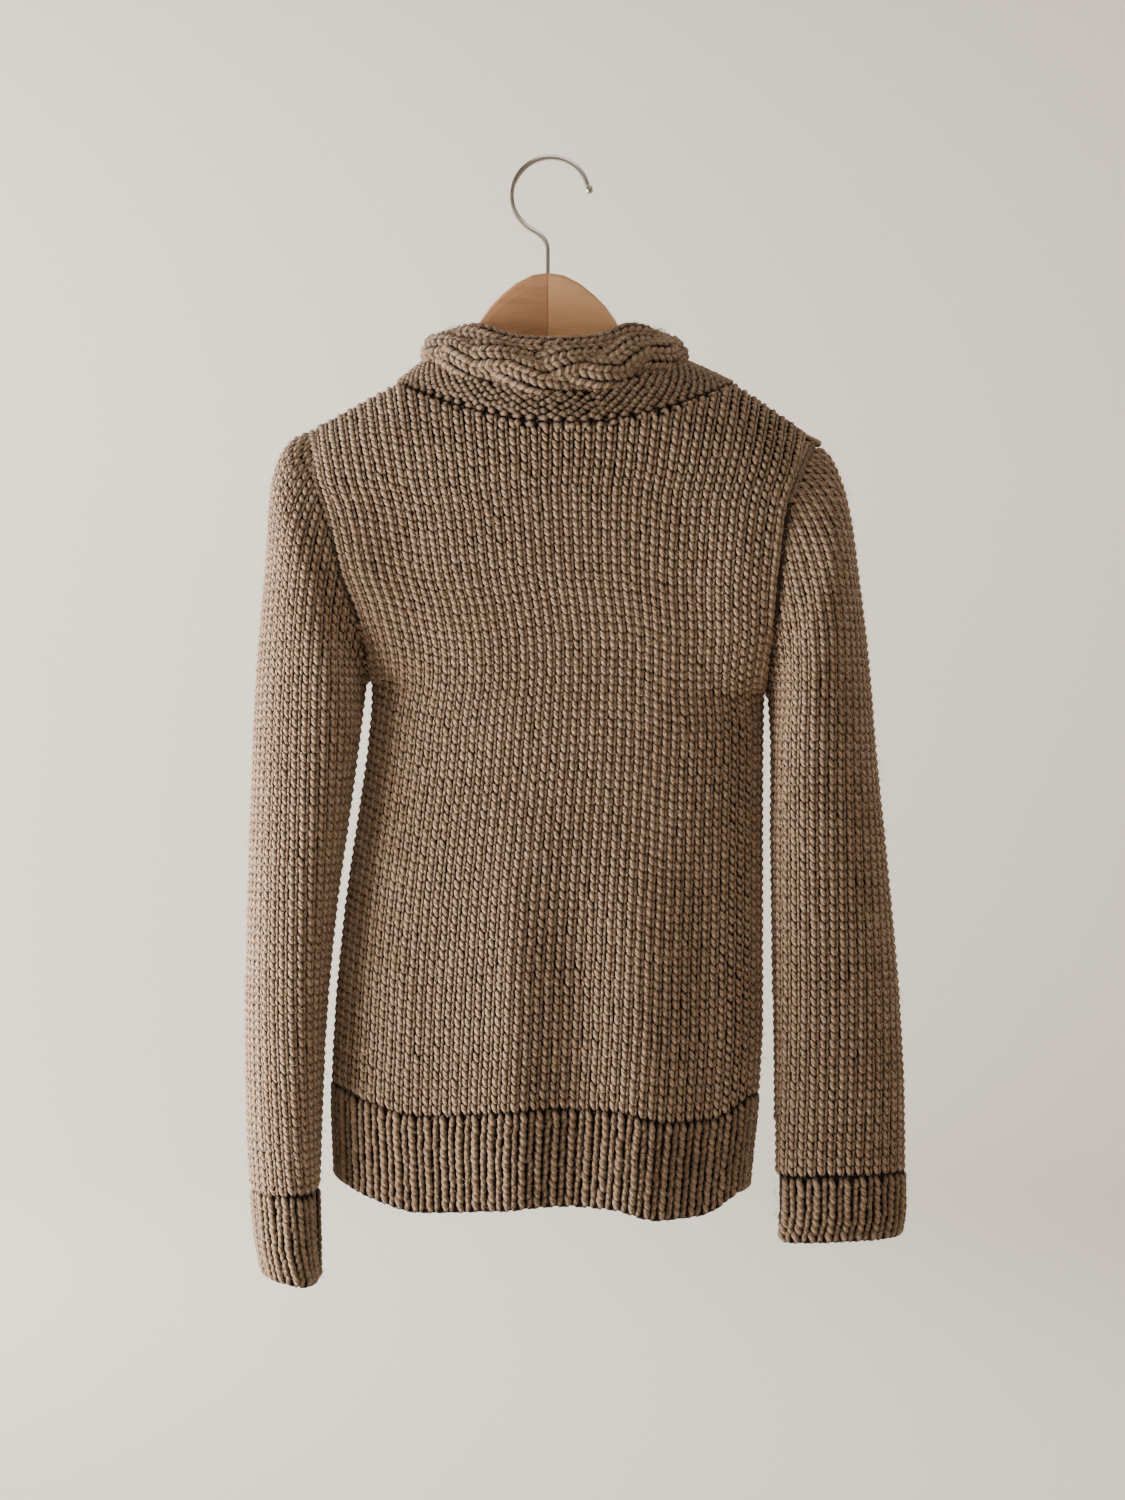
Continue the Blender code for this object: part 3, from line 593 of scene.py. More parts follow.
class Knit:
    """Collects courses of yarn and writes them as pieces."""

    def __init__(self, sides=6):
        self.sides = sides
        self.V, self.F, self.UVY, self.UVB, self.T, self.D, self.count = [], [], [], [], [], [], 0
        self.rows = 0

    def course(self, path, normal, radius, tone, deep=None, lay=0.92):
        """One continuous strand: path [n,3] mm, normal [n,3], radius [n], tone [n]."""
        n, m = len(path), self.sides
        if n < 3:
            return
        tangent = unit(np.gradient(path, axis=0))
        side = unit(np.cross(tangent, normal))
        up = np.cross(side, tangent)
        ang = 2 * np.pi * np.arange(m) / m
        ring = (side[:, None] * np.cos(ang)[None, :, None] + up[:, None] * (lay * np.sin(ang))[None, :, None])
        V = path[:, None] + ring * radius[:, None, None]
        base = self.count
        i = np.arange(n - 1)[:, None] * m
        k = np.arange(m)[None]
        k2 = (k + 1) % m
        F = np.stack([base + i + k, base + i + k2, base + i + m + k2, base + i + m + k], -1).reshape(-1, 4)
        length = np.concatenate([[0], np.cumsum(np.linalg.norm(np.diff(path, axis=0), axis=1))])
        ones = np.ones((n - 1, m))
        l0, l1 = length[:-1, None] * ones, length[1:, None] * ones
        a0, a1 = k / m * ones, (k + 1) / m * ones
        self.UVY.append(np.stack([np.stack([l0, a0], -1), np.stack([l0, a1], -1),
                                  np.stack([l1, a1], -1), np.stack([l1, a0], -1)], 2).reshape(-1, 2))
        q0, q1 = l0 / length[-1], l1 / length[-1]
        r0 = self.rows
        self.UVB.append(np.stack([np.stack([q0, r0 + a0 * 0.96], -1), np.stack([q0, r0 + a1 * 0.96], -1),
                                  np.stack([q1, r0 + a1 * 0.96], -1), np.stack([q1, r0 + a0 * 0.96], -1)], 2).reshape(-1, 2))
        # close the two ends with a point each
        caps = np.array([path[0] - tangent[0] * radius[0] * 0.6, path[-1] + tangent[-1] * radius[-1] * 0.6])
        self.V.append(np.vstack([V.reshape(-1, 3), caps]))
        self.T.append(np.concatenate([np.repeat(tone, m), tone[[0, -1]]]))
        # how far each point stands out of the cloth: 1 at the crown of a leg, 0 down a gap; the wool material paints
        # shade from it, darker down the gaps and on the strand's inner side (0.78 where no heights are given)
        if deep is None:
            deep = np.full(n, 0.78)
        deep = deep.copy()
        # the strand's ends are kept light, out of the painted shade
        deep[:3], deep[-3:] = np.maximum(deep[:3], 0.95), np.maximum(deep[-3:], 0.95)
        out = (ring * normal[:, None]).sum(-1)
        D = np.clip(deep[:, None] + 0.26 * out, 0, 1)
        D[:3], D[-3:] = np.maximum(D[:3], 0.8), np.maximum(D[-3:], 0.8)
        self.D.append(np.concatenate([D.ravel(), deep[[0, -1]]]))
        c0, c1 = base + n * m, base + n * m + 1
        kk = np.arange(0, m, 2)
        e = base + (n - 1) * m
        F0 = np.stack([np.full(len(kk), c0), base + (kk + 2) % m, base + (kk + 1) % m, base + kk], -1)
        F1 = np.stack([np.full(len(kk), c1), e + kk, e + (kk + 1) % m, e + (kk + 2) % m], -1)
        self.F += [F, F0, F1]
        for f in (F0, F1):
            self.UVY.append(np.zeros((f.size, 2)))
            self.UVB.append(np.tile([[0.0, r0], [0.001, r0], [0.001, r0 + 0.1], [0, r0 + 0.1]], (len(f), 1)))
        self.count += n * m + 2
        self.rows += 1

    def faces(self):
        return sum(len(f) for f in self.F)

    def write(self, name, mat):
        if not self.V:
            return None
        uvb = np.vstack(self.UVB)
        uvb[:, 1] /= max(1, self.rows)
        obj = mesh_object(name, np.vstack(self.V) * MM, np.vstack(self.F), mat,
                          uvs={"Yarn": np.vstack(self.UVY), "OFBake": uvb},
                          attrs={"tone": np.concatenate(self.T), "proud": np.concatenate(self.D)})
        return obj


def wobble(a, b, seed):
    """Slow, smooth unevenness in 0..1 terms, from a few waves."""
    r = np.random.default_rng(seed)
    out = 0.0
    for _ in range(5):
        fx, fy, ph = r.uniform(0.05, 0.45), r.uniform(0.05, 0.45), r.uniform(0, 6.28)
        out = out + np.sin(a * fx + b * fy + ph)
    return out / 5


MAX_FACES = 92000


def knit(name, fabric, body, mat, stitch, wale, row, radius, thick, proud=0.6, seed=1,
         wales=None, counted=0, first=0.5, jitter=1.0, samples=12, sides=6,
         rows_limit=None):
    """Courses of stitches over a fabric, split into pieces small enough to export whole.

    wale and row are pitches in mm; wales fixes the number across (a panel),
    otherwise it follows the row's width (a sleeve, whose wales keep their pitch).
    """
    shape = closed_path(stitch, samples)
    pieces, k = [], Knit(sides)
    total = fabric.length.max()
    nrows = int(total / row) + 1
    if rows_limit:
        nrows = min(nrows, rows_limit)
    local = np.random.default_rng(seed)
    part = 1
    jb = local.normal(0, 1, (nrows + 2, 400))
    for j in range(nrows):
        s0 = (j + first) * row
        if counted:
            ks = np.arange(-counted, counted)
            centre = (ks + 0.5 + counted) / (2 * counted)
        elif wales:
            ks = np.arange(wales)
            centre = (ks + 0.5) / wales
        else:
            half = int(fabric.row_width(s0) / wale / 2)
            ks = np.arange(-half, half)
            centre = 0.5 + (ks + 0.5) * wale / fabric.row_width(s0)
        ok = s0 + 0.35 * row < fabric.reach(centre)
        if counted:
            lo, hi = np.interp(s0, fabric.s, fabric.low), np.interp(s0, fabric.s, fabric.high)
            if hi - lo < 3.6:
                continue
            ok &= (ks + 0.5 > lo - 0.3) & (ks + 0.5 < hi + 0.3)
        # unbroken stretches
        idx = np.where(ok)[0]
        if len(idx) == 0:
            continue
        for run in np.split(idx, np.where(np.diff(idx) > 1)[0] + 1):
            kk = ks[run]
            n = len(kk)
            g = (kk + 200) % 400
            da = local.normal(0, 0.022 * jitter, n)
            db = 0.05 * jitter * jb[j, g % 400] + 0.03 * jitter * jb[j + 1, g % 400]
            dr = 1 + local.normal(0, 0.05 * jitter, n)
            dl = 1 + local.normal(0, 0.10 * jitter, n)
            a = kk[:, None] + 0.5 + (shape[None, :, 0] - 0.5) * dl[:, None] * 1.0 + da[:, None]
            # keep neighbours joined: fade the jitter out at the sinkers
            tt = np.arange(samples) / samples
            fade = np.sin(np.pi * tt)[None] ** 0.6
            a = (kk[:, None] + shape[None, :, 0]) * (1 - fade) + a * fade
            b = shape[None, :, 1] + db[:, None] * fade
            c = np.repeat(shape[None, :, 2], n, 0)
            r = shape[None, :, 3] * (1 + (dr[:, None] - 1) * fade)
            tone = local.normal(0, 1, n)[:, None] * 0.6 * fade + 0.0 * r
            a, b, c, r, tone = (q.ravel() for q in (a, b, c, r, tone))
            # the last sinker
            a = np.append(a, kk[-1] + 1 + shape[0, 0])
            b, c, r, tone = np.append(b, shape[0, 1]), np.append(c, shape[0, 2]), np.append(r, shape[0, 3]), np.append(tone, 0)
            slow = wobble(a, b + j, seed + 3)
            tone = tone + 0.8 * wobble(a * 0.8, (b + j) * 1.6, seed + 5)
            s = s0 + b * row + 0.5 * slow
            if counted:
                u = (a + counted) / (2 * counted)
            elif wales:
                u = (a + 0.06 * slow) / wales
            else:
                u = 0.5 + (a + 0.06 * slow) * wale / fabric.row_width(s0)
            P, N = fabric.at(u, np.maximum(s, 0.3))
            if s0 < row:
                P = P + np.where(s < 0.3, s - 0.3, 0)[:, None] * np.array([0, 0, 1.0])
            depth = c * thick - (thick + radius) + proud
            P = P + N * depth[:, None]
            k.course(P, N, r * radius, tone, deep=0.42 + 0.34 * c)
        if k.faces() > MAX_FACES:
            pieces.append(k.write(f"{name}_{part}", mat))
            part += 1
            k = Knit(sides)
    last = k.write(f"{name}_{part}", mat)
    if last:
        pieces.append(last)
    return pieces


def sheet_mesh(name, P, mat):
    ns, nu, _ = P.shape
    idx = np.arange(ns * nu).reshape(ns, nu)
    F = np.stack([idx[:-1, :-1], idx[:-1, 1:], idx[1:, 1:], idx[1:, :-1]], -1).reshape(-1, 4)
    uvu, uvv = np.meshgrid(np.linspace(0, 1, nu), np.linspace(0, 1, ns))
    UV = np.stack([uvu, uvv], -1).reshape(-1, 2)[F.ravel()]
    return mesh_object(name, P.reshape(-1, 3) * MM, F, mat, uvs={"OFBake": UV})


def ground(name, fabric, mat, depth, nu=60, step=10.0, smax=None, trim=0.0, ztop=None):
    """The thin sheet inside the loops, which blocks light as the wool's own body does; it is coloured dark, painted
    shade seen down the gaps between the loops.
    """
    top = fabric.length.max() if smax is None else smax
    ns = max(3, int(top / step))
    q, s = np.meshgrid(np.linspace(0, 1, nu), np.linspace(0, 1, ns))
    s = s * (np.minimum(fabric.reach(q), top) - trim)
    if fabric.wrap:
        q = q * (1 - 1e-6)
    P, N = fabric.at(q, s)
    P = P - N * depth
    if ztop is not None:
        P[..., 2] = np.minimum(P[..., 2], ztop)
    idx = np.arange(ns * nu).reshape(ns, nu)
    F = np.stack([idx[:-1, :-1], idx[:-1, 1:], idx[1:, 1:], idx[1:, :-1]], -1).reshape(-1, 4)
    V = P.reshape(-1, 3)
    uvu, uvv = np.meshgrid(np.linspace(0, 1, nu), np.linspace(0, 1, ns))
    UV = np.stack([uvu, uvv], -1).reshape(-1, 2)[F.ravel()]
    return mesh_object(name, V * MM, F, mat, uvs={"OFBake": UV}), V.reshape(ns, nu, 3)


# ---------------------------------------------------------------- materials
def srgb(*c):
    return tuple(((v / 255) / 12.92 if v / 255 <= 0.04045 else (((v / 255) + 0.055) / 1.055) ** 2.4) for v in c)


def node(tree, kind, **inputs):
    nd = tree.nodes.new(kind)
    for key, value in inputs.items():
        key = key.replace("_", " ")
        if key in nd.inputs:
            nd.inputs[key].default_value = value
    return nd


def ramp(tree, fac, stops):
    r = tree.nodes.new("ShaderNodeValToRGB")
    while len(r.color_ramp.elements) > 1:
        r.color_ramp.elements.remove(r.color_ramp.elements[-1])
    for i, (pos, col) in enumerate(stops):
        e = r.color_ramp.elements[0] if i == 0 else r.color_ramp.elements.new(pos)
        e.position = pos
        e.color = (*col, 1.0)
    tree.links.new(fac, r.inputs["Fac"])
    return r


def math_node(tree, op, a, b=None, c=None):
    m = tree.nodes.new("ShaderNodeMath")
    m.operation = op
    for k, v in enumerate((a, b, c)):
        if v is None:
            continue
        if isinstance(v, (int, float)):
            m.inputs[k].default_value = v
        else:
            tree.links.new(v, m.inputs[k])
    return m.outputs[0]


def wool(name, dark, mid, light, ply=True, bump=0.55):
    mat = bpy.data.materials.new(name)
    mat.use_nodes = True
    t = mat.node_tree
    shader = t.nodes["Principled BSDF"]
    shader.inputs["Roughness"].default_value = 0.93
    shader.inputs["Specular IOR Level"].default_value = 0.18
    shader.inputs["Sheen Weight"].default_value = 0.22
    shader.inputs["Sheen Roughness"].default_value = 0.45
    coord = t.nodes.new("ShaderNodeTexCoord")
    # slow colour drift of the dyed wool, then the stitch's own tone, then fibres
    big = node(t, "ShaderNodeTexNoise", Scale=14.0, Detail=3.0, Roughness=0.6)
    t.links.new(coord.outputs["Object"], big.inputs["Vector"])
    fine = node(t, "ShaderNodeTexNoise", Scale=420.0, Detail=4.0, Roughness=0.7)
    t.links.new(coord.outputs["Object"], fine.inputs["Vector"])
    tone = t.nodes.new("ShaderNodeAttribute")
    tone.attribute_name = "tone"
    total = math_node(t, "MULTIPLY_ADD", big.outputs["Fac"], 0.14, 0.22)
    total = math_node(t, "MULTIPLY_ADD", tone.outputs["Fac"], 0.06, total)
    total = math_node(t, "MULTIPLY_ADD", fine.outputs["Fac"], 0.46, total)
    height = fine.outputs["Fac"]
    if ply:
        uv = t.nodes.new("ShaderNodeUVMap")
        uv.uv_map = "Yarn"
        sep = t.nodes.new("ShaderNodeSeparateXYZ")
        t.links.new(uv.outputs["UV"], sep.inputs["Vector"])
        # three plies, one turn in 11 mm
        along = math_node(t, "MULTIPLY", sep.outputs["X"], 2 * math.pi / 3.6)
        round_ = math_node(t, "MULTIPLY", sep.outputs["Y"], 2 * math.pi * 3)
        wave = math_node(t, "SINE", math_node(t, "SUBTRACT", round_, along))
        groove = math_node(t, "MULTIPLY_ADD", wave, 0.5, 0.5)
        groove = math_node(t, "POWER", groove, 0.5)
        # painted shade: the colour follows the ply twist, darker down the grooves between the plies
        total = math_node(t, "MULTIPLY_ADD", groove, 0.16, math_node(t, "SUBTRACT", total, 0.12))
        height = math_node(t, "MULTIPLY_ADD", groove, 1.4, math_node(t, "MULTIPLY", fine.outputs["Fac"], 0.7))
    cr = ramp(t, total, [(0.18, dark), (0.48, mid), (0.86, light)])
    if ply:
        # painted shade: the colour goes dark down the gaps between the strands and on each strand's inner side, read
        # from the proud attribute; the mix's dark colour is the shade
        proud = t.nodes.new("ShaderNodeAttribute")
        proud.attribute_name = "proud"
        painted_gap_shade = t.nodes.new("ShaderNodeMapRange")
        painted_gap_shade.interpolation_type = "SMOOTHSTEP"
        painted_gap_shade.inputs["From Min"].default_value = 0.42
        painted_gap_shade.inputs["From Max"].default_value = 1.06
        painted_gap_shade.inputs["To Min"].default_value = 0.01
        painted_gap_shade.inputs["To Max"].default_value = 1.0
        t.links.new(proud.outputs["Fac"], painted_gap_shade.inputs["Value"])
        mix = t.nodes.new("ShaderNodeMix")
        mix.data_type = "RGBA"
        t.links.new(painted_gap_shade.outputs["Result"], mix.inputs["Factor"])
        mix.inputs[6].default_value = (*srgb(26, 17, 11), 1)
        t.links.new(cr.outputs["Color"], mix.inputs[7])
        t.links.new(mix.outputs[2], shader.inputs["Base Color"])
    else:
        t.links.new(cr.outputs["Color"], shader.inputs["Base Color"])
    b = t.nodes.new("ShaderNodeBump")
    b.inputs["Strength"].default_value = bump
    b.inputs["Distance"].default_value = 0.0007
    t.links.new(height, b.inputs["Height"])
    t.links.new(b.outputs["Normal"], shader.inputs["Normal"])
    return mat


def wood(name, dark, mid, light, tilt, seed):
    mat = bpy.data.materials.new(name)
    mat.use_nodes = True
    t = mat.node_tree
    shader = t.nodes["Principled BSDF"]
    shader.inputs["Coat Weight"].default_value = 0.25
    shader.inputs["Coat Roughness"].default_value = 0.30
    coord = t.nodes.new("ShaderNodeTexCoord")
    mp = t.nodes.new("ShaderNodeMapping")
    mp.inputs["Rotation"].default_value = (0, tilt, 0)
    mp.inputs["Location"].default_value = (seed, seed * 0.7, seed * 1.3)
    mp.inputs["Scale"].default_value = (5.0, 60.0, 60.0)
    t.links.new(coord.outputs["Object"], mp.inputs["Vector"])
    grain = node(t, "ShaderNodeTexNoise", Scale=1.6, Detail=5.0, Roughness=0.55, Distortion=0.5)
    t.links.new(mp.outputs["Vector"], grain.inputs["Vector"])
    mp2 = t.nodes.new("ShaderNodeMapping")
    mp2.inputs["Rotation"].default_value = (0, tilt, 0)
    mp2.inputs["Scale"].default_value = (60.0, 900.0, 900.0)
    t.links.new(coord.outputs["Object"], mp2.inputs["Vector"])
    pores = node(t, "ShaderNodeTexNoise", Scale=1.0, Detail=2.0, Roughness=0.5)
    t.links.new(mp2.outputs["Vector"], pores.inputs["Vector"])
    total = math_node(t, "MULTIPLY_ADD", pores.outputs["Fac"], 0.35, math_node(t, "MULTIPLY", grain.outputs["Fac"], 0.75))
    cr = ramp(t, total, [(0.22, dark), (0.52, mid), (0.85, light)])
    t.links.new(cr.outputs["Color"], shader.inputs["Base Color"])
    rough = math_node(t, "MULTIPLY_ADD", pores.outputs["Fac"], 0.18, 0.34)
    t.links.new(rough, shader.inputs["Roughness"])
    b = t.nodes.new("ShaderNodeBump")
    b.inputs["Strength"].default_value = 0.12
    b.inputs["Distance"].default_value = 0.0003
    t.links.new(pores.outputs["Fac"], b.inputs["Height"])
    t.links.new(b.outputs["Normal"], shader.inputs["Normal"])
    return mat


def steel(name):
    mat = bpy.data.materials.new(name)
    mat.use_nodes = True
    t = mat.node_tree
    shader = t.nodes["Principled BSDF"]
    shader.inputs["Metallic"].default_value = 1.0
    coord = t.nodes.new("ShaderNodeTexCoord")
    n = node(t, "ShaderNodeTexNoise", Scale=900.0, Detail=3.0, Roughness=0.6)
    t.links.new(coord.outputs["Object"], n.inputs["Vector"])
    cr = ramp(t, n.outputs["Fac"], [(0.3, srgb(158, 150, 138)), (0.7, srgb(196, 190, 178))])
    t.links.new(cr.outputs["Color"], shader.inputs["Base Color"])
    rough = math_node(t, "MULTIPLY_ADD", n.outputs["Fac"], 0.16, 0.24)
    t.links.new(rough, shader.inputs["Roughness"])
    return mat


def plain(name, colour, rough=0.9):
    mat = bpy.data.materials.new(name)
    mat.use_nodes = True
    t = mat.node_tree
    shader = t.nodes["Principled BSDF"]
    shader.inputs["Base Color"].default_value = (*colour, 1)
    shader.inputs["Roughness"].default_value = rough
    return mat


M_BODY = wool("wool_plain", srgb(118, 91, 70), srgb(178, 147, 120), srgb(224, 196, 169))
M_RIB = wool("wool_rib", srgb(100, 77, 59), srgb(152, 124, 99), srgb(194, 168, 142))
M_COLLAR = wool("wool_collar", srgb(108, 84, 65), srgb(164, 136, 111), srgb(210, 184, 158))
# painted shade: the seam yarns are darker copies of the body's wool, for the shade along the seams
M_SEAM_PAINTED_SHADE = wool("wool_seam", srgb(70, 52, 39), srgb(118, 95, 76), srgb(165, 140, 118))
M_ARMHOLE_PAINTED_SHADE = wool("wool_armhole_painted_shade", srgb(84, 64, 49), srgb(134, 109, 88), srgb(180, 154, 131))
# painted shade: the sheets inside the loops are coloured as wool in deep shade
M_SHADE_SHEET = wool("wool_painted_shade_sheet", srgb(30, 20, 13), srgb(42, 29, 20), srgb(56, 40, 29), ply=False, bump=0.3)
# painted light and shade: one beech, its left arm coloured darker and its right arm lighter, for how the light falls
# on the two angled arms
M_WOOD_L_PAINTED_SHADE = wood("beech_left", srgb(156, 107, 70), srgb(190, 137, 94), srgb(206, 154, 109), 0.62, 0.3)
M_WOOD_R_PAINTED_LIGHT = wood("beech_right", srgb(192, 139, 94), srgb(222, 168, 119), srgb(232, 184, 136), -0.50, 1.9)
M_STEEL = steel("satin_nickel")


# ---------------------------------------------------------------- build: body
WALE = 7.3
ROW = 6.3
YARN = 1.72
THICK = 2.1

ride_garment, blend_left, blend_right = [], [], []
sheets = []

cols, cut = panel_columns(True)
back = Fabric(cols, cut=cut)
cols, cut = panel_columns(False)
front = Fabric(cols[:, ::-1], cut=cut[::-1])

back_pieces = knit("back_panel_knit", back, "garment", M_BODY, PLAIN, WALE, ROW,
                   YARN, THICK, wales=W_BODY, seed=21, samples=15)
front_pieces = knit("front_panel_knit", front, "garment", M_BODY, PLAIN, WALE, ROW,
                    YARN, THICK, wales=W_BODY, seed=22, samples=15)
# the panels' inner sheets, coloured dark as painted shade between the loops
back_ground = sheet_mesh("back_panel_ground", panel_sheet(True, 4.8), M_SHADE_SHEET)
front_ground = sheet_mesh("front_panel_ground", panel_sheet(False, 4.8), M_SHADE_SHEET)
ride_garment += back_pieces + front_pieces + [back_ground, front_ground]

hem_b = Fabric(hem_grid(True))
hem_f = Fabric(hem_grid(False)[:, ::-1])
hem_b_pieces = knit("back_hem_rib_knit", hem_b, "garment", M_RIB, RIB, 12.0, 5.6,
                    2.05, 2.2, wales=31, seed=31, proud=1.2, first=0.9, samples=14)
hem_f_pieces = knit("front_hem_rib_knit", hem_f, "garment", M_RIB, RIB, 12.0, 5.6,
                    2.05, 2.2, wales=31, seed=32, proud=1.2, first=0.9, samples=14)
hem_b_ground, _ = ground("back_hem_ground", hem_b, M_SHADE_SHEET, 3.4, nu=60, step=9)
hem_f_ground, _ = ground("front_hem_ground", hem_f, M_SHADE_SHEET, 3.4, nu=60, step=9)
ride_garment += hem_b_pieces + hem_f_pieces + [hem_b_ground, hem_f_ground]

# ---------------------------------------------------------------- build: sleeves
sleeve_parts, sleeve_cloth = {}, {}
for left in (True, False):
    tag = "left" if left else "right"
    raw = sleeve_grid(SLEEVE_L if left else SLEEVE_R, left, True, nu=241)
    fab = Fabric(raw, wrap=True)
    G, s_, lo_, hi_, count = sleeve_levels(sleeve_grid(SLEEVE_L if left else SLEEVE_R, left, True, nu=241, even=False),
                                           left, WALE)
    by_level = Fabric.from_levels(G, s_, lo_, hi_, WALE)
    cuf = Fabric(sleeve_grid(CUFF_L if left else CUFF_R, left, False, nv=60), wrap=True)
    ps = knit(tag + "_sleeve_knit", by_level, tag, M_BODY, PLAIN, WALE, ROW, YARN, THICK,
              seed=41 if left else 42, samples=15, counted=count)
    cs = knit(tag + "_cuff_knit", cuf, tag, M_RIB, RIB, 12.0, 5.6, 2.05, 2.2,
              seed=43 if left else 44, proud=1.2, first=0.9, samples=14)
    g1, _ = ground(tag + "_sleeve_ground", fab, M_SHADE_SHEET, 4.8, nu=50, step=9, trim=3.5,
                   ztop=(SHOULDER_L if left else SHOULDER_R)[1] - 12.0)
    g2, _ = ground(tag + "_cuff_ground", cuf, M_SHADE_SHEET, 3.4, nu=40, step=9)
    sleeve_parts[tag] = (ps, cs, g1, g2)
    sleeve_cloth[tag] = (by_level, count, cuf)

# ---------------------------------------------------------------- build: collar
def collar_ring(ring, theta, hump):
    """A collar line; the rolled top stands in two humps at the back, either side of the nape."""
    P = ring_point(ring, theta)
    c, s_ = np.cos(theta), np.sin(theta)
    rear = smooth(-s_ * 2.2 + 0.2)
    rise = hump * (np.exp(-((np.abs(c) - 0.70) / 0.20) ** 2) - 0.55 * np.exp(-((np.abs(c) - 1.0) / 0.07) ** 2))
    P[..., 2] += rise * rear
    if ring is not RING_NECK:
        P[..., 0] -= 5.0 * smooth(c)
    return P


def band_grid(low, high, nv, over=0.0, nu=420, bulge=0.0, humps=(0.0, 0.0)):
    theta = np.linspace(0, 2 * np.pi, nu)
    A, B = collar_ring(low, theta, humps[0]), collar_ring(high, theta, humps[1])
    out = unit(np.stack([np.cos(theta) * low[2], np.sin(theta) * low[1], theta * 0], -1))
    v = np.linspace(0, 1 + over, nv)[:, None, None]
    return A[None] + (B - A)[None] * v + out[None] * (bulge * np.sin(np.pi * np.clip(v, 0, 1)))


base_fab = Fabric(band_grid(RING_NECK, RING_BAND, 40, over=0.25), wrap=True, ds=1.0)
base_pieces = knit("collar_base_knit", base_fab, "garment", M_COLLAR, PURL, 7.2, 5.4,
                   1.75, 1.6, wales=78, seed=51, proud=1.5, first=0.25, jitter=1.8)
band_fab = Fabric(band_grid(RING_BAND, RING_EDGE, 60, bulge=4.0, humps=(0.0, 4.0)), wrap=True, ds=1.0)
edge_fab = Fabric(band_grid(RING_EDGE, RING_TOP, 30, humps=(4.0, 6.0)), wrap=True, ds=1.0)
base_ground, _ = ground("collar_base_ground", base_fab, M_SHADE_SHEET, 2.6, nu=120, step=6)
band_ground, _ = ground("collar_band_ground", band_fab, M_SHADE_SHEET, 3.5, nu=120, step=6)
edge_ground, _ = ground("collar_edge_ground", edge_fab, M_SHADE_SHEET, 3.0, nu=120, step=5)
ride_garment += base_pieces + [base_ground, band_ground, edge_ground]


def rope(name, centre, normal, width, crown, wales, row, radius, thick, seed, mat, closed=True, samples=14, tilt=0.0):
    """A ribbon of plain knit that runs along a closed line, its wales along the line."""
    n = len(centre)
    d = np.linalg.norm(np.diff(np.vstack([centre, centre[:1]]), axis=0), axis=1)
    cum = np.concatenate([[0], np.cumsum(d)])
    total = cum[-1]
    rows = int(round(total / row))
    pitch = total / rows
    C = np.vstack([centre, centre[:1]])
    Nn = np.vstack([normal, normal[:1]])
    shape = closed_path(VEE, samples)
    local = np.random.default_rng(seed)
    k = Knit(6)
    pieces, part = [], 1

    def read(A, s):
        s = np.mod(s, total)
        return np.stack([np.interp(s, cum, A[:, q]) for q in range(3)], -1)
    for j in range(rows):
        kk = np.arange(wales)
        fade = np.sin(np.pi * np.arange(samples) / samples)[None] ** 0.6
        a = (kk[:, None] + shape[None, :, 0] + local.normal(0, 0.03, (wales, 1)) * fade).ravel()
        b = (np.repeat(shape[None, :, 1], wales, 0) + local.normal(0, 0.07, (wales, 1)) * fade).ravel()
        c = np.tile(shape[:, 2], wales)
        r = (shape[None, :, 3] * (1 + local.normal(0, 0.05, (wales, 1)) * fade)).ravel()
        tone = (local.normal(0, 0.6, (wales, 1)) * fade).ravel()
        a = np.append(a, wales + shape[0, 0]); b = np.append(b, shape[0, 1]); c = np.append(c, shape[0, 2])
        r = np.append(r, shape[0, 3]); tone = np.append(tone, 0)
        w = (a / wales - 0.5) * 2 - 0.04                    # -1..1 across
        s = (j + 0.5 + b) * pitch
        P, N = read(C, s), unit(read(Nn, s))
        ahead, behind = read(C, s + 1.5), read(C, s - 1.5)
        T = unit(ahead - behind)
        U = unit(np.cross(T, N))
        N = np.cross(U, T)
        bend = np.clip(w, -1.15, 1.15) * math.radians(82)
        off = U * (width / 2 * np.sin(bend))[:, None] + N * (crown * (np.cos(bend) - 1.0))[:, None]
        nn = unit(U * (np.sin(bend) * crown)[:, None] + N * (np.cos(bend) * width / 2)[:, None])
        P = P + off + nn * (c * thick)[:, None]
        tone = tone + 0.8 * wobble(a + j * 0.3, b + j * 0.5, seed + 5)
        k.course(P, nn, r * radius, tone, deep=0.42 + 0.34 * c)
        if k.faces() > MAX_FACES:
            pieces.append(k.write(f"{name}_{part}", mat)); part += 1; k = Knit(6)
    pieces.append(k.write(f"{name}_{part}", mat))
    return pieces


cable = []
N_TH = 720
theta = np.linspace(0, 2 * np.pi, N_TH, endpoint=False)
arc = np.linalg.norm(np.diff(ring_point(RING_BAND, np.append(theta, 2 * np.pi)), axis=0), axis=1)
arc = np.concatenate([[0], np.cumsum(arc)])
share = arc[:-1] / arc[-1]
at_back = np.interp(1.5 * np.pi, theta, share)
REPEATS = 3
for strand_no in range(3):
    psi = 2 * np.pi * (REPEATS * (share - at_back)) + np.pi + 2 * np.pi * strand_no / 3
    v = 0.50 + 0.26 * np.cos(psi)
    P_, N = band_fab.at(theta / (2 * np.pi), v * band_fab.reach(theta / (2 * np.pi)))
    lift = -3.6 - 3.6 * np.sin(2 * psi)
    C = P_ + N * lift[:, None]
    cable += rope(f"collar_cable_strand_{strand_no + 1}", C, N, 23.0, 7.5, 3, 5.8, 2.1, 1.6, 61 + strand_no, M_COLLAR)
edge_line = collar_ring(RING_EDGE, theta, 4.0) * 0.35 + collar_ring(RING_TOP, theta, 6.0) * 0.65
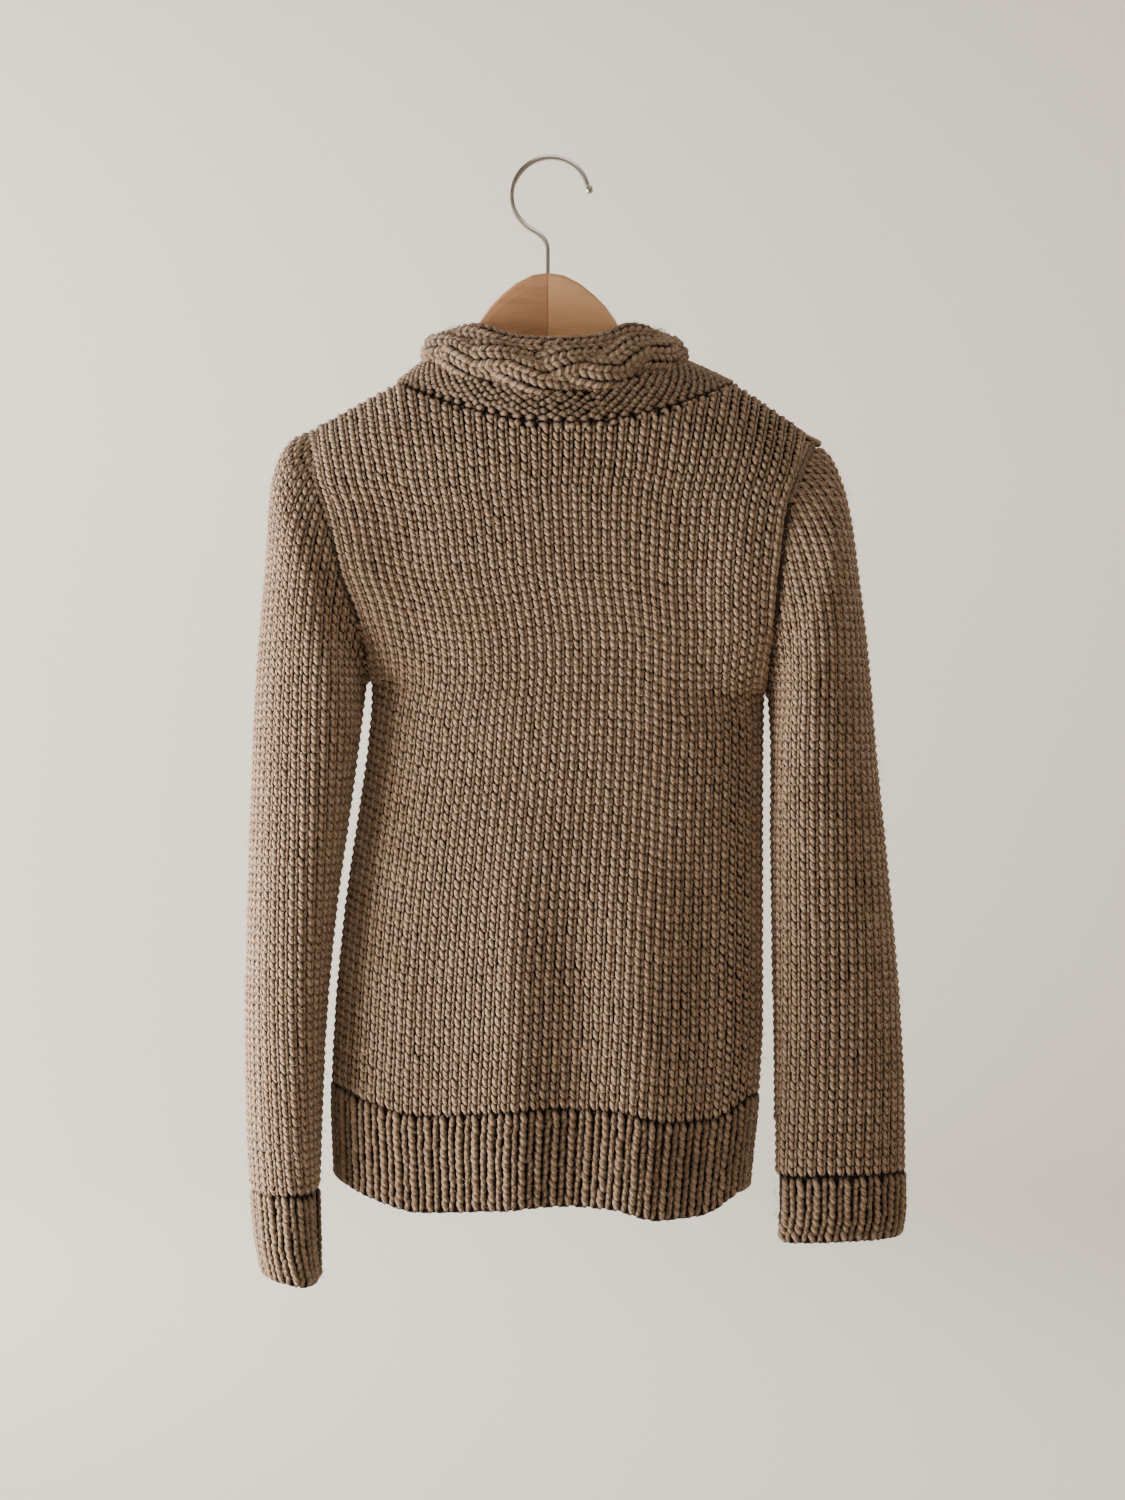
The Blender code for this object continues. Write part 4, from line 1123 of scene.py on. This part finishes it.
_, N = edge_fab.at(theta / (2 * np.pi), np.full(N_TH, 6.0))
up = np.array([0, 0, 1.0])
N_edge = unit(N + up * 0.45)
edge_pieces = rope("collar_top_edge_knit", edge_line - N * 3.0, N_edge, 14.0, 6.0, 2, 6.3, 1.9, 1.4, 66, M_COLLAR)
ride_garment += cable + edge_pieces


# ---------------------------------------------------------------- loose fibres
def fibres(name, fabric, count, mat, seed, s_to=None, levels=False):
    """Fine hairs that stand off the yarn."""
    r = np.random.default_rng(seed)
    u = r.uniform(0.002, 0.998, count)
    if levels:
        s_ = r.uniform(3, fabric.s[-1] - 3, count)
        lo, hi = np.interp(s_, fabric.s, fabric.low), np.interp(s_, fabric.s, fabric.high)
        u = ((lo + (hi - lo) * u) + levels) / (2 * levels)
    else:
        s_ = r.uniform(0.01, 0.985, count) * fabric.reach(u)
    P, N = fabric.at(u, s_)
    T = unit(r.normal(0, 1, (count, 3)))
    T = unit(T - (T * N).sum(1)[:, None] * N)
    T2 = unit(r.normal(0, 1, (count, 3)))
    length = r.uniform(2.5, 6.5, count)[:, None]
    lean = r.uniform(0.15, 0.8, count)[:, None]
    t = np.array([0, 0.34, 0.68, 1.0])[None, :, None]
    base = P - N * 0.9
    path = (base[:, None] + t * (length * unit(N * lean + T * (1 - lean)))[:, None]
            + t ** 2 * (length * 0.45 * T2)[:, None])
    rad = np.array([0.13, 0.12, 0.10, 0.05])[None, :, None, None]
    ang = 2 * np.pi * np.arange(3) / 3
    side = unit(np.cross(N, T))
    ring = side[:, None] * np.cos(ang)[None, :, None] + N[:, None] * np.sin(ang)[None, :, None]
    V = (path[:, :, None] + ring[:, None] * rad).reshape(-1, 3)
    k = np.arange(3)
    i = np.arange(count)[:, None, None] * 12 + np.arange(3)[None, :, None] * 3
    F = np.stack([i + k, i + (k + 1) % 3, i + 3 + (k + 1) % 3, i + 3 + k], -1).reshape(-1, 4)
    tone = np.repeat(r.normal(0, 1, count), 12)
    q = np.repeat(r.uniform(0, 0.99, (count, 2)), 36, 0)
    uv = q + np.tile(np.array([[0, 0], [0.004, 0], [0.004, 0.004], [0, 0.004]]), (count * 9, 1))
    obj = mesh_object(name, V * MM, F, mat, uvs={"Yarn": uv * 0, "OFBake": uv},
                      attrs={"tone": tone, "proud": np.full(len(V), 0.9)})
    return obj


M_FIBRE = wool("wool_fibre", srgb(122, 96, 74), srgb(174, 145, 119), srgb(214, 188, 162), ply=False, bump=0.1)
ride_garment_fibres = {
    "back_panel": fibres("back_panel_fibres", back, 3600, M_FIBRE, 71),
    "front_panel": fibres("front_panel_fibres", front, 2600, M_FIBRE, 72),
    "back_hem": fibres("back_hem_fibres", hem_b, 700, M_FIBRE, 73),
    "front_hem": fibres("front_hem_fibres", hem_f, 600, M_FIBRE, 74),
    "collar_base": fibres("collar_base_fibres", base_fab, 700, M_FIBRE, 75),
    "collar_cable": fibres("collar_cable_fibres", band_fab, 1300, M_FIBRE, 76),
    "collar_edge": fibres("collar_edge_fibres", edge_fab, 600, M_FIBRE, 77)}
ride_garment += list(ride_garment_fibres.values())


# ---------------------------------------------------------------- seams
def seam(name, line, radius, pitch, swing, closed, mat, seed):
    """A seaming strand that weaves from side to side along a line (mm)."""
    pts = np.array(line, float)
    if closed:
        pts = np.vstack([pts, pts[:1]])
    d = np.linalg.norm(np.diff(pts, axis=0), axis=1)
    cum = np.concatenate([[0], np.cumsum(d)])
    n = max(12, int(cum[-1] / 1.4))
    s = np.linspace(0, cum[-1], n)
    P = np.stack([np.interp(s, cum, pts[:, q]) for q in range(3)], -1)
    for _ in range(4):
        P[1:-1] = (P[:-2] + 2 * P[1:-1] + P[2:]) / 4
    T = unit(np.gradient(P, axis=0))
    ref = np.array([0.15, -0.2, 1.0])
    S = unit(np.cross(T, np.where(np.abs(T @ unit(ref))[:, None] > 0.9, np.array([0, 1.0, 0]), unit(ref))))
    U = np.cross(S, T)
    wave = 2 * np.pi * s / pitch
    P = P + S * (swing * np.sin(wave))[:, None] + U * (0.4 * swing * np.cos(2 * wave))[:, None]
    k = Knit(6)
    k.course(P, U, np.full(n, radius), 0.5 * np.sin(s / 9.0 + seed), lay=1.0)
    obj = k.write(name, mat)
    return obj


seams = {}
for left in (True, False):
    tag = "left" if left else "right"
    top, under = (SHOULDER_L, UNDERARM_L) if left else (SHOULDER_R, UNDERARM_R)
    phi = np.linspace(0, 2 * np.pi, 160, endpoint=False)
    loop = armhole_ring(phi, left)
    centre = np.array([top[0], 0, (top[1] + under) / 2])
    inward = unit((centre - loop) * np.array([0, 1, 1]))
    seams["armhole_seam_" + tag] = seam("armhole_seam_yarn_" + tag, loop + inward * 3.0, 2.3, 6.3, 0.7, True, M_ARMHOLE_PAINTED_SHADE, 1)
    if not left:
        # the last wale at this side is half lost in the seam, so a second strand backs it
        seams["armhole_backing_right"] = seam("armhole_backing_yarn_right", loop + inward * 2.6 - np.array([4.2, 0, 0.6]),
                                              2.4, 6.3, 0.7, True, M_BODY, 6)
        seams["armhole_backing2_right"] = seam("armhole_backing2_yarn_right", loop + inward * 5.0 - np.array([2.0, 0, 0.6]),
                                               2.4, 6.3, 0.7, True, M_RIB, 7)
    zs = np.linspace(table(HEM, -160 if left else 150) + 3, under - 5, 80)
    x = table(EDGE_L if left else EDGE_R, zs)
    seams["side_seam_" + tag] = seam("side_seam_yarn_" + tag,
                                     np.stack([x - (-1 if left else 1) * 2.4, zs * 0, zs], -1), 1.3, 6.3, 0.8, False, M_SEAM_PAINTED_SHADE, 2)
    neck = ring_point(RING_NECK, np.pi if left else 0.0)
    a = np.array([top[0], 0, top[1] - 2.4]); b = np.array([neck[0], 0, neck[2] - 2.4])
    d = unit(b - a)
    t = np.linspace(0, 1, 30)[:, None]
    seams["shoulder_seam_" + tag] = seam("shoulder_seam_yarn_" + tag, (a + d * 9) + ((b - d * 4) - (a + d * 9)) * t,
                                         1.3, 6.3, 0.8, False, M_SEAM_PAINTED_SHADE, 3)
    st = np.array(SLEEVE_L if left else SLEEVE_R, float)
    sign = 1 if left else -1
    line = np.stack([st[:, 2] - sign * 6.5, st[:, 5], st[:, 3]], -1)[1:]
    seams["sleeve_seam_" + tag] = seam("sleeve_seam_yarn_" + tag, line, 1.2, 6.3, 0.8, False, M_SEAM_PAINTED_SHADE, 4)
    if not left:
        cap = np.stack([np.linspace(184, 203.5, 24), np.zeros(24), np.linspace(-203.6, -213.2, 24)], -1)
        for q, y in enumerate((-2.6, 2.6)):
            seams["shoulder_backing%d_right" % q] = seam("shoulder_backing_yarn_right_%d" % q, cap + np.array([0, y, 0]),
                                                         2.5, 6.3, 0.8, False, M_BODY, 8 + q)
    # the sewn-in end at the shoulder point, a small flat knot
    turn = np.linspace(0, 7 * np.pi, 60)
    knot = np.stack([top[0] + (1.6 if left else -1.6) + 3.2 * np.cos(turn) * (1 - turn / 60), 3.4 * np.sin(turn),
                     top[1] - 2.6 - 2.8 * np.sin(turn * 0.5) ** 2 - 0.06 * turn], -1)
    k = Knit(6)
    out = unit(knot - np.array([top[0] + (6 if left else -6), 0, top[1] - 12]))
    k.course(knot, out, np.full(60, 1.7), 0.3 * np.sin(turn), deep=np.full(60, 0.95))
    end_knot = k.write("shoulder_end_knot_" + tag, M_BODY)
    ride_garment.append(end_knot)
th = np.linspace(0, 2 * np.pi, 220, endpoint=False)
ringp = ring_point(RING_NECK, th)
outw = unit(np.stack([np.cos(th) / RING_NECK[1], np.sin(th) / RING_NECK[2], th * 0], -1))
seams["neck_seam"] = seam("neck_seam_yarn", ringp - outw * 4.0, 1.4, 7.2, 0.8, True, M_SEAM_PAINTED_SHADE, 5)

# ---------------------------------------------------------------- hook and hanger
for n in ("hook_wire", "hook_tip_ball", "hook_washer", "hook_nut"):
    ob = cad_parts[n]
    ob.data.materials.clear()
    ob.data.materials.append(M_STEEL)
for n, m in (("hanger_arm_left", M_WOOD_L_PAINTED_SHADE), ("hanger_arm_right", M_WOOD_R_PAINTED_LIGHT)):
    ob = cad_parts[n]
    ob.data.materials.clear()
    ob.data.materials.append(m)

# ---------------------------------------------------------------- bodies
sleeve_fibres = {}
for tag, (cloth, count, cuf) in sleeve_cloth.items():
    sleeve_fibres[tag] = (fibres(tag + "_sleeve_fibres", cloth, 2200, M_FIBRE,
                                 81 if tag == "left" else 82, levels=count),
                          fibres(tag + "_cuff_fibres", cuf, 350, M_FIBRE,
                                 83 if tag == "left" else 84))
for p in ride_garment:
    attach(p, "garment")
for n, p in seams.items():
    if n.startswith("sleeve_seam"):
        continue
    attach(p, "garment")

BLEND = {"left": ((-172, 0, -199), (-0.99, 0, -0.136)), "right": ((200, 0, -208), (0.985, 0, -0.17))}
for tag, (ps, cs, g1, g2) in sleeve_parts.items():
    p0, d = BLEND[tag]
    d = np.array(d) / np.linalg.norm(d)
    for p in ps + [g1, seams["sleeve_seam_" + tag], sleeve_fibres[tag][0]]:
        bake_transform(p)
    for p in cs + [g2, sleeve_fibres[tag][1]]:
        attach(p, "sleeve_" + tag)

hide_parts("back_panel")
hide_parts("front_panel")
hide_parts("back_hem_rib")
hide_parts("front_hem_rib")
for tag, (ps, cs, g1, g2) in sleeve_parts.items():
    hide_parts(tag + "_sleeve")
    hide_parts(tag + "_cuff_rib")
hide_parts("collar_base_band")
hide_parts("collar_cable_band")
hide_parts("collar_top_edge")
for n, p in seams.items():
    if "backing" not in n:
        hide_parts(n)


def cloth(obj, width, length, pieces, share=None):
    """Takes a knitted panel's sheet and its loops and does nothing with them. Sizes in mm, not used."""


cloth(back_ground, 372, 580, back_pieces + [ride_garment_fibres["back_panel"]], 0.86)
cloth(front_ground, 372, 580, front_pieces + [ride_garment_fibres["front_panel"]], 0.86)
cloth(hem_b_ground, 368, 66, hem_b_pieces + [ride_garment_fibres["back_hem"]])
cloth(hem_f_ground, 368, 66, hem_f_pieces + [ride_garment_fibres["front_hem"]])
cloth(base_ground, 520, 36, base_pieces + [ride_garment_fibres["collar_base"]])
cloth(band_ground, 470, 30, cable + [ride_garment_fibres["collar_cable"]])
cloth(edge_ground, 450, 11, edge_pieces + [ride_garment_fibres["collar_edge"]])
for tag, (ps, cs, g1, g2) in sleeve_parts.items():
    cloth(g1, 270, 600 if tag == "left" else 570, ps + [sleeve_fibres[tag][0]], 0.85)
    cloth(g2, 204, 62 if tag == "left" else 50, cs + [sleeve_fibres[tag][1]])


# ---------------------------------------------------------------- stage
def cyclorama():
    """A pale round floor that sweeps up into a low wall on every side."""
    mat = plain("backdrop_paint", srgb(222, 216, 206), 0.95)
    prof = [(0.001, -1.45), (1.5, -1.45), (3.4, -1.45)]
    for k in range(1, 25):
        a = math.pi / 2 * k / 24
        prof.append((3.4 + 1.9 * math.sin(a), -1.45 + 1.9 * (1 - math.cos(a))))
    prof.append((5.3, 2.9))
    n = 96
    ang = 2 * np.pi * np.arange(n) / n
    V = np.array([[r * math.cos(t), r * math.sin(t), z] for r, z in prof for t in ang])
    F = [[i * n + j, i * n + (j + 1) % n, (i + 1) * n + (j + 1) % n, (i + 1) * n + j]
         for i in range(len(prof) - 1) for j in range(n)]
    mesh_object("backdrop", V, np.array(F), mat)


def area(name, loc, target, size, power, colour):
    li = bpy.data.lights.new(name, "AREA")
    li.shape = "RECTANGLE"
    li.size, li.size_y = size
    li.energy = power
    li.color = colour
    ob = bpy.data.objects.new(name, li)
    bpy.context.scene.collection.objects.link(ob)
    ob.location = loc
    ob.rotation_euler = (Vector(target) - Vector(loc)).to_track_quat("-Z", "Y").to_euler()
    ob.visible_camera = False
    return ob


cyclorama()
setup_camera()
area("window", (-1.00, -0.27, -0.70), (-0.1, 0, -0.64), (0.5, 1.0), 38.0, (1.0, 0.985, 0.96))
area("overhead", (0.2, -0.90, 1.2), (0, 0, -0.3), (1.0, 1.0), 9.5, (1.0, 0.95, 0.89))
area("wall_wash", (-2.6, 1.4, 1.2), (-0.9, 4.2, 0.1), (2.0, 2.0), 370, (1.0, 0.97, 0.93))
area("fill_far", (1.3, 1.5, 0.4), (0, 0, -0.45), (1.2, 1.2), 16, (1.0, 0.98, 0.95))
world = bpy.data.worlds.new("world")
bpy.context.scene.world = world
world.use_nodes = True
bg = world.node_tree.nodes["Background"]
bg.inputs["Color"].default_value = (*srgb(226, 220, 210), 1)
bg.inputs["Strength"].default_value = 0.22
